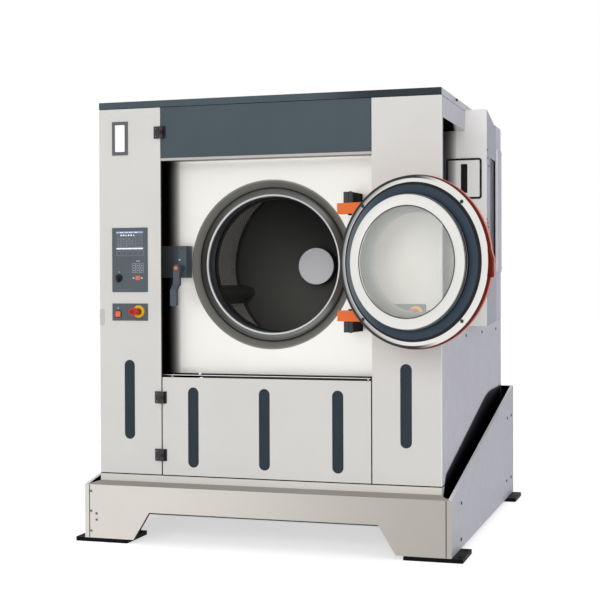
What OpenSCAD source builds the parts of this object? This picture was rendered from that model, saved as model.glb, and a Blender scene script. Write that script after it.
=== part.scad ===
// Soft-mounted industrial washer-extractor with an open door, in millimetres
// X runs along the width, Y from front to rear, Z up; the origin is on the floor
// at the centre of the eight anchor holes

/* [Base] */
// Width over the two side plates
base_w = 1864; // [1840:2:2000]
// Depth from the front plate to the rear plate
base_d = 2044; // [2000:2:2200]
// Height of the front edge above the floor
base_front_h = 288; // [276:1:320]
// Height of the rear edge above the floor
base_rear_h = 666; // [500:1:800]
// Thickness of the folded base plates
base_t = 4; // [3:0.5:6]
// Width of the folded lip on the side plates
base_lip = 17; // [12:1:24]
// Depth of the return folded round the front and rear plates
base_return = 26; // [20:1:32]
// Height of the arch cut in the front and rear plates
arch_h = 159; // [120:1:180]
// Clear width of the arch at the floor
arch_w = 1336; // [1100:2:1380]
// How far each side of the arch leans in by its top
arch_draw = 85; // [40:1:120]

/* [Feet] */
// Thickness of a foot plate
foot_t = 20; // [15:1:30]
// Width of a foot plate
foot_w = 283; // [240:1:320]
// Length of a foot plate
foot_l = 250; // [230:2:300]
// How far a foot plate reaches past the side plate
foot_out = 53; // [45:1:70]
// Distance of the rear foot plates from the rear of the base
foot_inset = 30; // [10:1:60]
// Radius of an anchor hole
anchor_r = 9; // [7:0.5:12]
// Distance between the two anchor holes of a plate
anchor_gap = 170; // [140:1:190]
// Distance of an anchor hole from the outer edge of its plate
anchor_edge = 20; // [18:1:28]

/* [Suspension] */
// Width of a cross beam
beam_w = 120; // [100:2:150]
// Height of a cross beam
beam_h = 60; // [50:1:66]
// Wall of a cross beam
beam_wall = 6; // [4:0.5:8]
// Underside of the cross beams above the floor
beam_z = 90; // [86:1:96]
// Distance between the two cross beams
beam_span = 1240; // [1100:10:1400]
// Distance of an air bellows from the middle
bellows_x = 640; // [560:5:700]
// Outer radius of a bellows convolution
bellows_r = 105; // [80:1:112]
// Outer radius of a clamp plate of a bellows
bellows_plate_r = 74; // [60:1:78]

/* [Cabinet] */
// Width of the cabinet
body_w = 1750; // [1740:2:1760]
// Depth of the cabinet
body_d = 1862; // [1840:2:1900]
// Distance of the cabinet front behind the base front
body_setback = 65; // [50:1:80]
// Underside of the chassis above the floor
chassis_z = 250; // [244:1:256]
// Top of the chassis above the floor
chassis_top = 338; // [334:1:342]
// Width of a chassis beam
chassis_w = 80; // [70:1:90]
// Visible gap between two panels
seam = 4; // [3:0.5:6]
// Height of the cabinet top under its cover
body_top = 2174; // [2150:1:2200]
// Height of the top cover
cover_t = 33; // [25:1:45]
// Width of the return folded under the cover
cover_rim = 30; // [20:1:40]
// Depth of the dark trim along the front of the cover
trim_d = 14; // [10:1:20]
// Thickness of the panel sheet
sheet = 3; // [2:0.5:4]
// Depth of the returns folded on the column panels
return_d = 42; // [36:1:46]
// Depth of the returns folded on the swinging panels
swing_return = 26; // [20:1:32]
// Width of a front column
column_w = 334; // [325:1:340]
// Section of a frame post
post = 50; // [40:1:56]
// Wall of a frame post
tube_t = 4; // [2:0.5:5]
// Distance of the inner front post behind the edge of its column
post_inset = 34; // [26:1:40]

/* [Front] */
// Depth of the stainless front behind the cabinet front
recess_d = 120; // [114:1:130]
// Height of the top edge of the lower panel
lower_top = 827; // [800:1:850]
// Open slit between the lower panel and the stainless front
recess_slit = 16; // [10:1:24]
// Height of the fascia
fascia_h = 251; // [240:1:262]
// Height of the light lip under the fascia
fascia_lip = 11; // [8:1:14]
// Length of a slot window in the panels
slot_l = 398; // [360:1:410]
// Width of a slot window in the panels
slot_w = 56; // [44:1:64]
// Lower end of the slot windows in the columns
column_slot_z = 515; // [480:1:560]
// Lower end of the slot windows in the lower panel
lower_slot_z = 383; // [376:1:400]
// Distance between the slot windows in the lower panel
lower_slot_gap = 371; // [330:1:390]
// Distance of the left slot from the outer edge of its column
left_slot_edge = 162; // [120:1:180]
// Distance of the right slot from the outer edge of its column
right_slot_edge = 170; // [120:1:180]

/* [Vents] */
// Number of rows of a vent
vent_rows_n = 10; // [6:1:12]
// Distance between two rows of a vent
vent_step = 29; // [24:1:34]
// Height of a vent slot
vent_h = 11; // [8:1:14]
// Height of the lowest vent slot above the lower edge of its panel
vent_rise = 140; // [100:5:180]
// Length of the vent slots in the rear panel
vent_rear_w = 400; // [300:10:440]
// Distance of the vents in the rear panel from the middle
vent_rear_x = 360; // [300:10:400]
// Length of the vent slots in the side panel
vent_side_w = 360; // [300:10:400]

/* [Name window] */
// Width of the name window
name_w = 86; // [80:1:95]
// Height of the name window
name_h = 168; // [150:1:180]
// Width of the frame of the name window
name_rim = 17; // [12:0.5:22]
// Distance from the side of the cabinet to the name window
name_edge = 73; // [60:1:90]
// Drop of the name window below the top of the column panel
name_drop = 63; // [40:1:90]

/* [Service niche] */
// Depth of the niche into the side of the cabinet
niche_w = 155; // [140:1:180]
// Depth of the niche from the cabinet front to the tower
niche_d = 633; // [600:1:660]
// Height of the floor of the niche
niche_z = 1073; // [1040:1:1100]
// Height of the ceiling of the niche
niche_top = 2073; // [2040:1:2084]
// How far the tower stands out of the cabinet side
tower_out = 112; // [90:1:130]
// Depth of the tower from front to rear
tower_d = 455; // [420:1:500]
// Height of the shelf inside the tower
tower_shelf = 1378; // [1300:1:1390]
// Thickness of the tower sheet
tower_t = 3; // [2:0.5:4]
// Distance of the side window behind the tower front
tower_window_y = 100; // [90:1:110]
// Width of the side window
tower_window_w = 205; // [190:1:210]
// Height of the side window
tower_window_h = 538; // [500:2:560]
// Distance of the side cover behind the tower front
tower_cover_y = 317; // [310:1:325]
// Height of the side cover above the foot of the tower
tower_cover_low = 279; // [260:1:300]
// Length of the side cover
tower_cover_h = 652; // [600:2:680]
// Width of the hatch opening
hatch_w = 163; // [140:1:175]
// Height of the hatch opening
hatch_h = 188; // [160:1:220]
// Height of the middle of the hatch
hatch_z = 1827; // [1790:1:1860]
// Depth of the grip pocket behind the hatch
grip_d = 26; // [18:1:40]
// Distance of the hatch from the outer side of the tower
hatch_edge = 36; // [34:1:44]
// Width of the gasket round the hatch
hatch_rim = 10; // [8:1:12]
// Thickness of the gasket round the hatch
hatch_rim_t = 5; // [4:0.5:6]
// Radius of the pin of a hatch hinge
hatch_pin_r = 1.5; // [1.2:0.1:2]
// Radius of the barrel of a hatch hinge
hatch_knuckle_r = 3.2; // [2.8:0.1:3.4]
// Length of the barrel of a hatch hinge
hatch_knuckle_l = 18; // [12:1:24]
// Height of a lug of a hatch hinge
hatch_lug_h = 6; // [4:0.5:8]
// Distance of a hatch hinge from the middle of the hatch
hatch_hinge_gap = 62; // [40:1:66]

/* [Door] */
// Height of the drum axis above the floor
axis_z = 1388; // [1376:1:1400]
// Outer radius of the door flange
door_r = 386; // [376:1:390]
// Thickness of the door flange
flange_t = 6; // [4:0.5:8]
// Running gap between the closed door and the stainless front
door_gap = 5; // [4:0.5:8]
// Radius where the door seal leaves the flange
seal_r = 355; // [350:1:362]
// Radius of the inner ring where the seal ends
ring_r = 308; // [300:1:318]
// How far the inner ring stands into the mouth
ring_h = 45; // [38:1:52]
// Radius of the visible glass
glass_r = 256; // [240:1:264]
// Thickness of the glass
glass_t = 12; // [8:1:15]
// Depth of the door shell behind the flange
shell_d = 45; // [40:1:52]
// Radius of the opening in the door shell
shell_open_r = 320; // [316:1:326]
// Wall of the door shell
shell_wall = 4; // [3:0.5:6]
// Rounding of the outer edge of the door shell
shell_round = 18; // [12:1:22]
// How far the door stands open in the rest position, in degrees
door_open = 160.2; // [0:0.1:165]
// Distance of the door hinge axis from the drum axis
hinge_x = 437; // [434:1:442]
// Distance of the door hinge axis in front of the cabinet
hinge_out = 32; // [28:1:36]
// Height of the middle of the two door hinges above the drum axis
hinge_lift = 6; // [0:1:10]
// Distance between the facing ends of the two door arms
arm_inner = 458; // [440:2:480]
// Height of a door arm
arm_h = 51; // [44:1:56]
// Thickness of a door arm
arm_t = 50; // [42:1:54]
// Distance from the drum axis to the foot of an arm on the door
arm_foot_x = 196; // [190:1:200]
// Width of the foot of an arm
arm_foot_w = 70; // [64:1:76]
// Width of the plate of a hinge bracket
bracket_plate_w = 84; // [76:1:88]
// Radius of a door hinge pin
pin_r = 11; // [9:0.5:14]
// Running gap round a hinge pin
pin_gap = 0.05; // [0.02:0.01:0.09]
// Gap between a door arm and its bracket
arm_gap = 1; // [0.6:0.1:2]

/* [Mouth] */
// Outer radius of the mouth seal in the stainless front
mouth_r = 415; // [410:1:420]
// Radius of the groove between the two rings of the mouth
groove_r = 384; // [378:1:390]
// Depth of that groove behind the stainless front
groove_d = 33; // [28:1:38]
// Outer radius of the bright nose of the mouth
nose_r = 348; // [346:1:352]
// Inner radius of the bright nose of the mouth
throat_r = 338; // [336:1:341]
// Depth of the nose behind the stainless front
nose_d = 12; // [9:1:16]

/* [Drum] */
// Inner radius of the drum
drum_r = 485; // [470:1:492]
// Radius of the drum opening
drum_open_r = 331; // [322:1:334]
// Inner depth of the drum
drum_d = 730; // [680:2:760]
// Wall of the drum
drum_t = 3; // [2:0.5:4]
// Distance of the drum front behind the cabinet front
drum_y = 254; // [248:1:262]
// Height of a lifter above the drum wall
lifter_h = 70; // [50:1:90]
// Width of a lifter at its foot
lifter_w = 120; // [90:1:150]
// Radius of the hub cover in the drum
hub_r = 100; // [90:1:110]
// How far the hub cover stands into the drum
hub_h = 80; // [60:1:90]
// Clear gap between the drum and the tub
tub_gap = 52; // [44:1:60]
// Wall of the tub
tub_t = 5; // [4:0.5:6]
// Distance of the tub front behind the cabinet front
tub_y = 204; // [198:1:210]
// Inner depth of the tub
tub_d = 840; // [826:2:860]
// How far the sump outlet reaches below the tub
sump_l = 70; // [60:1:80]
// Width of the flange of the sump outlet
sump_flange = 20; // [14:1:24]
// Thickness of the saddle plates under the tub
saddle_t = 12; // [10:1:16]
// Width of a saddle plate at its shoulders
saddle_w = 960; // [900:10:1000]
// Width of a saddle plate at its foot
saddle_foot_w = 600; // [560:10:640]
// Height of the shoulders of a saddle plate
saddle_side = 150; // [120:1:180]
// Distance of a saddle plate from the end of the tub
saddle_inset = 120; // [90:5:150]

/* [Drive] */
// Radius of the main shaft
shaft_r = 45; // [40:1:50]
// Outer radius of a main bearing
bearing_r = 95; // [90:1:100]
// Width of a main bearing
bearing_w = 50; // [40:1:55]
// Length of the bearing housing
housing_l = 320; // [300:2:340]
// Outer radius of the bearing housing
housing_r = 140; // [130:1:150]
// Radius of the flange of the bearing housing
housing_flange_r = 270; // [240:1:290]
// Radius of the large pulley
pulley_r = 330; // [300:1:340]
// Radius of the motor pulley
pinion_r = 75; // [68:1:84]
// Width of the drive belt
belt_w = 60; // [50:1:66]
// Thickness of the drive belt
belt_t = 10; // [8:0.5:12]
// Distance of the motor behind the tub
motor_gap = 50; // [40:1:60]
// Radius of the motor
motor_r = 150; // [130:1:160]
// Length of the motor
motor_l = 296; // [260:2:300]
// Distance of a motor foot from the middle
motor_foot_x = 110; // [90:1:120]
// Width of a motor foot
motor_foot_w = 60; // [40:1:70]
// Thickness of the plate under the motor
rail_t = 14; // [10:1:18]
// Height of the motor axis above the floor
motor_z = 530; // [520:1:560]
// Radius of the motor shaft
motor_shaft_r = 20; // [16:1:24]

/* [Controls] */
// Distance of the control plates from the outer edge of the column
plate_edge = 70; // [60:1:80]
// Width of the control plates
plate_w = 194; // [180:1:200]
// Thickness of the control plates
plate_t = 3; // [2:0.5:5]
// Lower edge of the control panel
panel_z = 1253; // [1240:1:1270]
// Height of the control panel
panel_h = 323; // [300:1:330]
// Lower edge of the stop plate
stop_z = 1110; // [1090:1:1120]
// Height of the stop plate
stop_h = 86; // [80:1:96]
// Distance of the stop button from the left edge of its plate
stop_x = 146; // [140:1:150]
// Radius of the yellow collar
collar_r = 31; // [28:0.5:34]
// Thickness of the yellow collar
collar_t = 8; // [3:0.5:10]
// Radius of the stop button head
stop_head_r = 20; // [17:0.5:24]
// Length of the stop button head
stop_head_l = 34; // [28:1:40]
// Free length of the stop button stem in front of its plate
stop_stem_l = 46; // [40:1:54]
// Radius of the stop button stem
stop_stem_r = 12; // [10:0.5:14]
// Side of the square start button
start_w = 27.5; // [24:0.5:32]
// Distance of the start button from the left edge of its plate
start_x = 32; // [26:1:40]
// Radius of the key switch
key_r = 14; // [11:0.5:17]
// Radius of the shaft of the key switch
key_shaft_r = 8; // [5:0.5:10]
// How far the buttons reach into the column behind its front
button_l = 9; // [5:0.5:14]

/* [Lock] */
// Height of the lower edge of the door lock
lock_z = 1324; // [1310:1:1330]
// Height of the door lock
lock_h = 159; // [150:1:170]
// Depth of the lock front behind the cabinet front
lock_front = 45; // [40:1:50]
// Width of the flat front of the lock
lock_face = 48; // [44:1:54]
// Distance of the right side of the lock from the drum axis
lock_x = 422; // [419:1:426]
// Distance of the lever axis from the drum axis
lever_x = 446; // [444:1:450]
// Height of the lever axis
lever_z = 1372; // [1360:1:1390]
// Width of the lever
lever_w = 33; // [28:1:38]
// Length of the lever from its axis to its end
lever_l = 188; // [170:1:210]
// Thickness of the lever
lever_t = 22; // [16:1:24]

/* [Hinges] */
// Height of a panel hinge
leaf_h = 60; // [50:1:70]
// Radius of a panel hinge barrel
knuckle_r = 9; // [8:0.5:10]
// Radius of a panel hinge pin
hinge_pin_r = 4; // [3:0.5:5]
// Thickness of a hinge leaf
leaf_t = 4; // [3:0.5:5]
// Distance of the middle of the fascia hinge below the top of the fascia
fascia_hinge_drop = 124; // [80:1:170]
// Middle height of the upper hinge of the lower panel
lower_hinge_hi = 728; // [690:1:760]
// Middle height of the lower hinge of the lower panel
lower_hinge_lo = 441; // [420:1:480]

/* [Services] */
// Radius of the drain pipe
drain_r = 38; // [30:1:44]
// Height of the lower end of the drain pipe
drain_z = 190; // [170:1:210]
// Length of the body of the drain valve
valve_l = 150; // [130:1:170]
// Radius of a water inlet
inlet_r = 16.6; // [12:0.1:20]
// Distance between the water inlets
inlet_gap = 120; // [90:1:150]
// Drop of the water inlets below the cabinet top
inlet_drop = 274; // [240:2:320]
// How far the inlet valves reach in behind the rear panel
inlet_d = 130; // [110:1:150]
// Width of the coil of an inlet valve
coil_w = 60; // [50:1:70]

/* [Hidden] */
$fn = 96;
base_y0 = -(base_d - foot_inset) / 2;
base_y1 = base_y0 + base_d;
side_x = base_w / 2;
front_x = side_x - base_lip;
anchor_x = side_x + foot_out - anchor_edge;
beam_top = beam_z + beam_h;
fy = base_y0 + body_setback;
by = fy + body_d;
bx = body_w / 2;
body_z = chassis_top + seam;
panel_top = body_top - sheet;
fascia_z = panel_top - fascia_h;
inlet_z = body_top - inlet_drop;
name_z = panel_top - name_drop - name_h;
fascia_hinge_z = panel_top - fascia_hinge_drop;
column_x = bx - column_w;
recess_y = fy + recess_d;
post_x = column_x + post_inset;
cover_top = body_top + cover_t;
swing_x = column_x - seam + 1;
lower_x = swing_x - 3;
niche_x = bx - niche_w;
tower_y = fy + niche_d;
tower_x = bx + tower_out;
tower_top = body_top - seam;
hatch_x = tower_x - hatch_edge - hatch_w;
hatch_low = hatch_z - hatch_h / 2;
hatch_axis_x = hatch_x + hatch_w + 4;
hatch_axis_y = tower_y - hatch_rim_t;
door_y = recess_y - door_gap;
hinge_y = fy - hinge_out;
hinge_z = axis_z + hinge_lift;
arm_mid = arm_inner / 2 + arm_h / 2;
bracket_h = arm_h + 1;
drum_front = fy + drum_y;
drum_back = drum_front + drum_d;
tub_r = drum_r + drum_t + tub_gap;
tub_front = fy + tub_y;
tub_back = tub_front + tub_d;
sump_y = (tub_front + tub_back) / 2;
sump_z = axis_z - tub_r - sump_l;
motor_y = tub_back + motor_gap;
rail_end = motor_y + motor_l + 20;
housing_end = tub_back + tub_t + housing_l;
pulley_y = housing_end + 40;
plate_x = -bx + plate_edge;
right_plate_x = bx - plate_edge - plate_w;
stop_axis_z = stop_z + stop_h / 2 + 3;
start_axis_z = stop_z + 33;
key_x = plate_x + 38;
key_z = panel_z + 71;
leaf_axis_x = -column_x + knuckle_r + 1;
leaf_axis_y = fy - knuckle_r - 3;
gap = 0.3;
belt_gap = 0.5;

// Box given by its lowest corner and its highest corner
module span(low, high) {
    translate(low)
        cube(high - low);
}

// Plate cut from an outline in X and Z, with its front face at y
module upright(y, thick) {
    translate([0, y + thick, 0])
        rotate([90, 0, 0])
            linear_extrude(thick)
                children();
}

// Solid cut from an outline in Y and Z, from x towards +X
module sideways(x, thick) {
    translate([x, 0, 0])
        rotate([90, 0, 90])
            linear_extrude(thick)
                children();
}

// Solid turned about a line along Y through x and z, its profile in radius and y
module turned(x, z) {
    translate([x, 0, z])
        rotate([-90, 0, 0])
            rotate_extrude()
                children();
}

// Round bar along Y from y0 to y1
module bar_y(x, z, y0, y1, r) {
    translate([x, y0, z])
        rotate([-90, 0, 0])
            cylinder(h = y1 - y0, r = r);
}

// Rectangle with round corners, from its lowest corner
module round_rect(w, h, r) {
    union() {
        translate([r, 0])
            square([w - 2 * r, h]);
        translate([0, r])
            square([w, h - 2 * r]);
        for (x = [r, w - r], y = [r, h - r])
            translate([x, y])
                circle(r, $fn = 48);
    }
}

// Upright slot outline with round ends, from its lowest point
module slot_shape(w, l) {
    union() {
        translate([0, w / 2])
            square([w, l - w]);
        for (y = [w / 2, l - w / 2])
            translate([w / 2, y])
                circle(w / 2, $fn = 64);
    }
}

// Outline of a front or rear base plate, grown inwards by t
module base_outline(h, t) {
    polygon([
        [-front_x + t, foot_t - t], [-front_x + t, h - t], [front_x - t, h - t], [front_x - t, foot_t - t],
        [arch_w / 2 + t, foot_t - t], [arch_w / 2 - arch_draw + t / 2, arch_h + t],
        [-arch_w / 2 + arch_draw - t / 2, arch_h + t], [-arch_w / 2 - t, foot_t - t]
    ]);
}

// Folded base plate with its skin at y and its returns towards dir
module base_plate(y, h, dir) {
    translate([0, y, 0])
        mirror([0, dir < 0 ? 1 : 0, 0])
            difference() {
                upright(0, base_return)
                    base_outline(h, 0);
                upright(base_t, base_return)
                    base_outline(h, base_t);
            }
}

module base_front_plate() {
    color("gainsboro") {
        base_plate(base_y0, base_front_h, 1);
        span([-front_x, base_y0 + base_return, base_front_h - base_t],
             [front_x, fy - 14, base_front_h]);
    }
}

module base_rear_plate() {
    color("gainsboro")
        base_plate(base_y1, base_rear_h, -1);
}

// Outline of a side plate, grown inwards by t
module side_outline(t) {
    polygon([
        [base_y0 + t, foot_t - t], [base_y1 - t, foot_t - t],
        [base_y1 - t, base_rear_h - t], [base_y0 + t, base_front_h - t]
    ]);
}

module base_side_plates() {
    color("silver")
        for (m = [0, 1])
            mirror([m, 0, 0])
                difference() {
                    sideways(side_x - base_lip, base_lip)
                        side_outline(0);
                    sideways(side_x - base_lip - 1, base_lip + 1 - base_t)
                        side_outline(base_t);
                }
}

module base_beams() {
    color("dimgray")
        for (s = [-1, 1])
            difference() {
                span([-side_x + base_t, s * beam_span / 2 - beam_w / 2, beam_z],
                     [side_x - base_t, s * beam_span / 2 + beam_w / 2, beam_top]);
                span([-side_x, s * beam_span / 2 - beam_w / 2 + beam_wall, beam_z + beam_wall],
                     [side_x, s * beam_span / 2 + beam_w / 2 - beam_wall, beam_top - beam_wall]);
            }
}

module foot_plates() {
    color("black")
        for (m = [0, 1], s = [0, 1])
            mirror([m, 0, 0])
                mirror([0, s, 0])
                    difference() {
                        translate([side_x + foot_out - foot_w, base_y0, 0])
                            linear_extrude(foot_t)
                                round_rect(foot_w, foot_l, 8);
                        for (k = [-1, 1])
                            translate([anchor_x, base_y0 + foot_l / 2 + k * anchor_gap / 2, -1])
                                cylinder(h = foot_t + 2, r = anchor_r);
                    }
}

// Double convoluted air bellows between its two clamp plates
module bellows_unit() {
    height = chassis_z - beam_top;
    fold = height / 4 - 2;
    cylinder(h = 8, r = bellows_plate_r);
    translate([0, 0, height - 8])
        cylinder(h = 8, r = bellows_plate_r);
    cylinder(h = height, r = bellows_plate_r - 8);
    for (k = [1, 3])
        translate([0, 0, k * height / 4])
            rotate_extrude()
                union() {
                    translate([bellows_r - fold, 0])
                        circle(fold, $fn = 48);
                    translate([0, -fold])
                        square([bellows_r - fold, 2 * fold]);
                }
    translate([0, 0, height / 2 - 4])
        cylinder(h = 8, r = bellows_r - fold - 4);
}

module air_bellows() {
    color("black")
        for (x = [-1, 1], y = [-1, 1])
            translate([x * bellows_x, y * beam_span / 2, beam_top])
                bellows_unit();
}

// Box beam along Y between the cross members of the chassis, open at its ends
module chassis_beam(x, w) {
    difference() {
        span([x - w / 2, fy + chassis_w, chassis_z], [x + w / 2, by - chassis_w, chassis_top]);
        span([x - w / 2 + beam_wall, fy, chassis_z + beam_wall],
             [x + w / 2 - beam_wall, by, chassis_top - beam_wall]);
    }
}

module chassis_frame() {
    color("gainsboro") {
        difference() {
            span([-bx, fy, chassis_z], [bx, by, chassis_top]);
            span([-bx + chassis_w, fy + chassis_w, chassis_z - 1],
                 [bx - chassis_w, by - chassis_w, chassis_top + 1]);
            span([-bx + beam_wall, fy + beam_wall, chassis_z + beam_wall],
                 [bx - beam_wall, by - beam_wall, chassis_top - beam_wall]);
        }
        for (s = [-1, 1]) {
            chassis_beam(s * bellows_x, 2 * chassis_w);
            chassis_beam(s * 240, chassis_w);
        }
    }
}

// Upright tube from the chassis, open at both ends, from x, y with section w by d
module tube(x, y, w, d, z1) {
    difference() {
        span([x, y, chassis_top], [x + w, y + d, z1]);
        span([x + tube_t, y + tube_t, chassis_top - 1], [x + w - tube_t, y + d - tube_t, z1 + 1]);
    }
}

// Rail of the cabinet frame, an inverted channel between two corners
module rail(low, high) {
    difference() {
        span(low, high);
        if (high[0] - low[0] > high[1] - low[1])
            span([low[0] - 1, low[1] + tube_t, low[2] - 1],
                 [high[0] + 1, high[1] - tube_t, high[2] - tube_t]);
        else
            span([low[0] + tube_t, low[1] - 1, low[2] - 1],
                 [high[0] - tube_t, high[1] + 1, high[2] - tube_t]);
    }
}

module cabinet_frame() {
    outer = bx - sheet;
    front = fy + sheet;
    behind = front + post;
    rear = by - sheet - post;
    side = niche_x - sheet - post;
    tail = tower_y + tower_d + seam;
    low = niche_z - sheet;
    color("gray") {
        for (m = [0, 1])
            mirror([m, 0, 0]) {
                tube(outer - post, front, post, post, body_top);
                tube(post_x, front, post, recess_y - front, body_top);
                tube(outer - post, rear, post, post, body_top);
            }
        tube(side, recess_y, post, post, body_top);
        tube(outer - post, tail, post, post, body_top);
        tube(side, tail, post, post, body_top);
        rail([-outer, behind, body_top - post], [outer, behind + post, body_top]);
        rail([-outer, rear - post, body_top - post], [outer, rear, body_top]);
        for (x = [-outer, side])
            rail([x, behind + post, body_top - post], [x + post, rear - post, body_top]);
        rail([side + post, tail, body_top - post], [outer - post, tail + post, body_top]);
        rail([outer - post, behind, low - post], [outer, rear, low]);
        rail([-outer, behind, low - post], [-outer + post, rear, low]);
        rail([-outer + post, rear, low - post], [outer - post, rear + post, low]);
        rail([outer - post, behind + post, niche_top + sheet], [outer, tower_y, body_top]);
        rail([side + post, tower_y - post, niche_top + sheet], [outer - post, tower_y, body_top]);
    }
}

// Channel-shaped column panel, skin at the cabinet front, from x0 to x1
module column_panel(x0, x1) {
    difference() {
        span([x0, fy, body_z], [x1, fy + return_d, panel_top]);
        span([x0 + sheet, fy + sheet, body_z - 1], [x1 - sheet, fy + return_d + 1, panel_top + 1]);
    }
}

// Holes in a column behind the stop plate at x
module stop_holes(x) {
    hole = start_w / 2 + 0.5;
    bar_y(x + stop_x, stop_axis_z, fy - 1, fy + sheet + 1, stop_stem_r + 0.5);
    span([x + start_x - hole, fy - 1, start_axis_z - hole],
         [x + start_x + hole, fy + sheet + 1, start_axis_z + hole]);
}

module column_left() {
    color("gainsboro")
        difference() {
            column_panel(-bx, -column_x);
            stop_holes(plate_x);
            bar_y(key_x, key_z, fy - 1, fy + sheet + 1, key_shaft_r + 0.5);
            upright(fy - 1, sheet + 2)
                translate([-bx + left_slot_edge - slot_w / 2, column_slot_z])
                    slot_shape(slot_w, slot_l);
        }
}

module column_right() {
    color("gainsboro")
        difference() {
            column_panel(column_x, bx);
            stop_holes(right_plate_x);
            upright(fy - 1, sheet + 2)
                translate([bx - right_slot_edge - slot_w / 2, column_slot_z])
                    slot_shape(slot_w, slot_l);
        }
}

module top_cover() {
    color("gainsboro")
        difference() {
            span([-bx, fy + trim_d, body_top], [bx, by, cover_top]);
            span([-bx + sheet, fy + trim_d + sheet, body_top + sheet],
                 [bx - sheet, by - sheet, cover_top - sheet]);
            span([-bx + cover_rim, fy + trim_d + cover_rim, body_top - 1],
                 [bx - cover_rim, by - cover_rim, cover_top - 2 * sheet]);
        }
}

module cover_trim() {
    color("darkslategray")
        span([-bx, fy, body_top], [bx, fy + trim_d, cover_top]);
}

module side_panels_left() {
    split = fy + return_d + 1 + (body_d - return_d) / 2;
    color("lightgray") {
        span([-bx, fy + return_d + 1, body_z], [-bx + sheet, split - seam / 2, panel_top]);
        difference() {
            span([-bx, split + seam / 2, body_z], [-bx + sheet, by - sheet, panel_top]);
            for (k = [0 : vent_rows_n - 1])
                translate([-bx - 1, by - vent_side_w - 160, body_z + vent_rise + vent_step * k])
                    rotate([90, 0, 90])
                        linear_extrude(sheet + 2)
                            round_rect(vent_side_w, vent_h, vent_h / 2 - 0.1);
        }
    }
}

module side_panels_right() {
    rear = tower_y + tower_d + seam;
    color("silver") {
        span([bx - sheet, fy + return_d + 1, body_z], [bx, by - sheet, niche_z - seam / 2]);
        span([bx - sheet, fy + return_d + 1, niche_top], [bx, tower_y - seam, panel_top]);
        span([bx - sheet, rear, niche_z + seam / 2], [bx, by - sheet, panel_top]);
    }
}

module niche_panels() {
    back = fy + sheet + post;
    color("lightgray") {
        span([niche_x - sheet, back, niche_z - sheet], [niche_x, tower_y + tower_d, niche_top + sheet]);
        span([niche_x, back, niche_z - sheet], [bx - sheet, tower_y + tower_d, niche_z]);
        span([niche_x, back, niche_top], [bx - sheet, tower_y, niche_top + sheet]);
        span([post_x + post, back, niche_z], [bx - sheet, back + sheet, niche_top]);
    }
}

// Rows of ventilation slots in a rear panel
module vent_rows(x) {
    for (k = [0 : vent_rows_n - 1])
        translate([x, by - sheet - 1, body_z + vent_rise + vent_step * k])
            rotate([90, 0, 0])
                translate([0, 0, -sheet - 2])
                    linear_extrude(sheet + 2)
                        round_rect(vent_rear_w, vent_h, vent_h / 2 - 0.1);
}

module rear_panels() {
    color("silver") {
        difference() {
            span([-bx, by - sheet, body_z], [bx, by, niche_z - seam / 2]);
            for (s = [-1, 1])
                vent_rows(s * vent_rear_x - vent_rear_w / 2);
        }
        difference() {
            span([-bx, by - sheet, niche_z + seam / 2], [bx, by, panel_top]);
            for (x = [-1, 0, 1])
                bar_y(x * inlet_gap, inlet_z, by - sheet - 1, by + 1, inlet_r + 6);
            bar_y(-3 * inlet_gap, inlet_z, by - sheet - 1, by + 1, 26);
        }
    }
}

module stainless_front() {
    edge = post_x + 24;
    shelf_z = fascia_z - fascia_lip;
    lip_x = column_x - gap;
    behind = fy + return_d + 1;
    color("whitesmoke") {
        difference() {
            span([-edge, recess_y, lower_top + recess_slit], [edge, recess_y + sheet, shelf_z]);
            bar_y(0, axis_z, recess_y - 1, recess_y + sheet + 1, mouth_r - 3);
        }
        span([-post_x, behind, shelf_z - sheet], [post_x, recess_y, shelf_z]);
        span([-lip_x, fy + sheet, shelf_z - sheet], [lip_x, behind, shelf_z]);
        span([-lip_x, fy + 1, shelf_z - sheet], [lip_x, fy + 4, fascia_z - 1]);
    }
}

// Dark window that fills a slot of a panel from behind
module window(x, z) {
    upright(fy + 1, sheet - 1)
        translate([x - slot_w / 2 + gap, z + gap])
            slot_shape(slot_w - 2 * gap, slot_l - 2 * gap);
    upright(fy + sheet, 2)
        translate([x - slot_w / 2 - 8, z - 8])
            slot_shape(slot_w + 16, slot_l + 16);
}

module slot_windows() {
    color("darkslategray") {
        window(-bx + left_slot_edge, column_slot_z);
        window(bx - right_slot_edge, column_slot_z);
    }
}

module name_window() {
    color("dimgray")
        translate([-bx + name_edge, fy, name_z])
            difference() {
                span([0, -4, 0], [name_w, 0, name_h]);
                span([name_rim, -5, name_rim], [name_w - name_rim, -2, name_h - name_rim]);
            }
}

// Stop and start plate with holes for its two buttons
module stop_plate(x) {
    hole = start_w / 2 + pin_gap;
    difference() {
        span([x, fy - plate_t, stop_z], [x + plate_w, fy, stop_z + stop_h]);
        bar_y(x + stop_x, stop_axis_z, fy - plate_t - 1, fy + 1, stop_stem_r + 0.5);
        span([x + start_x - hole, fy - plate_t - 1, start_axis_z - hole],
             [x + start_x + hole, fy + 1, start_axis_z + hole]);
    }
}

module control_plates() {
    color("slategray") {
        difference() {
            upright(fy - plate_t, plate_t)
                translate([plate_x, panel_z])
                    round_rect(plate_w, panel_h, 4);
            span([plate_x + 22, fy - plate_t - 1, panel_z + 212],
                 [plate_x + 172, fy - plate_t + 1, panel_z + 306]);
            bar_y(key_x, key_z, fy - plate_t - 1, fy + 1, key_shaft_r + pin_gap);
        }
        stop_plate(plate_x);
        stop_plate(right_plate_x);
    }
}

module control_display() {
    color("lightsteelblue")
        span([plate_x + 22 + gap, fy - plate_t - 0.5, panel_z + 212 + gap],
             [plate_x + 172 - gap, fy - plate_t + 1, panel_z + 306 - gap]);
}

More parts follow.
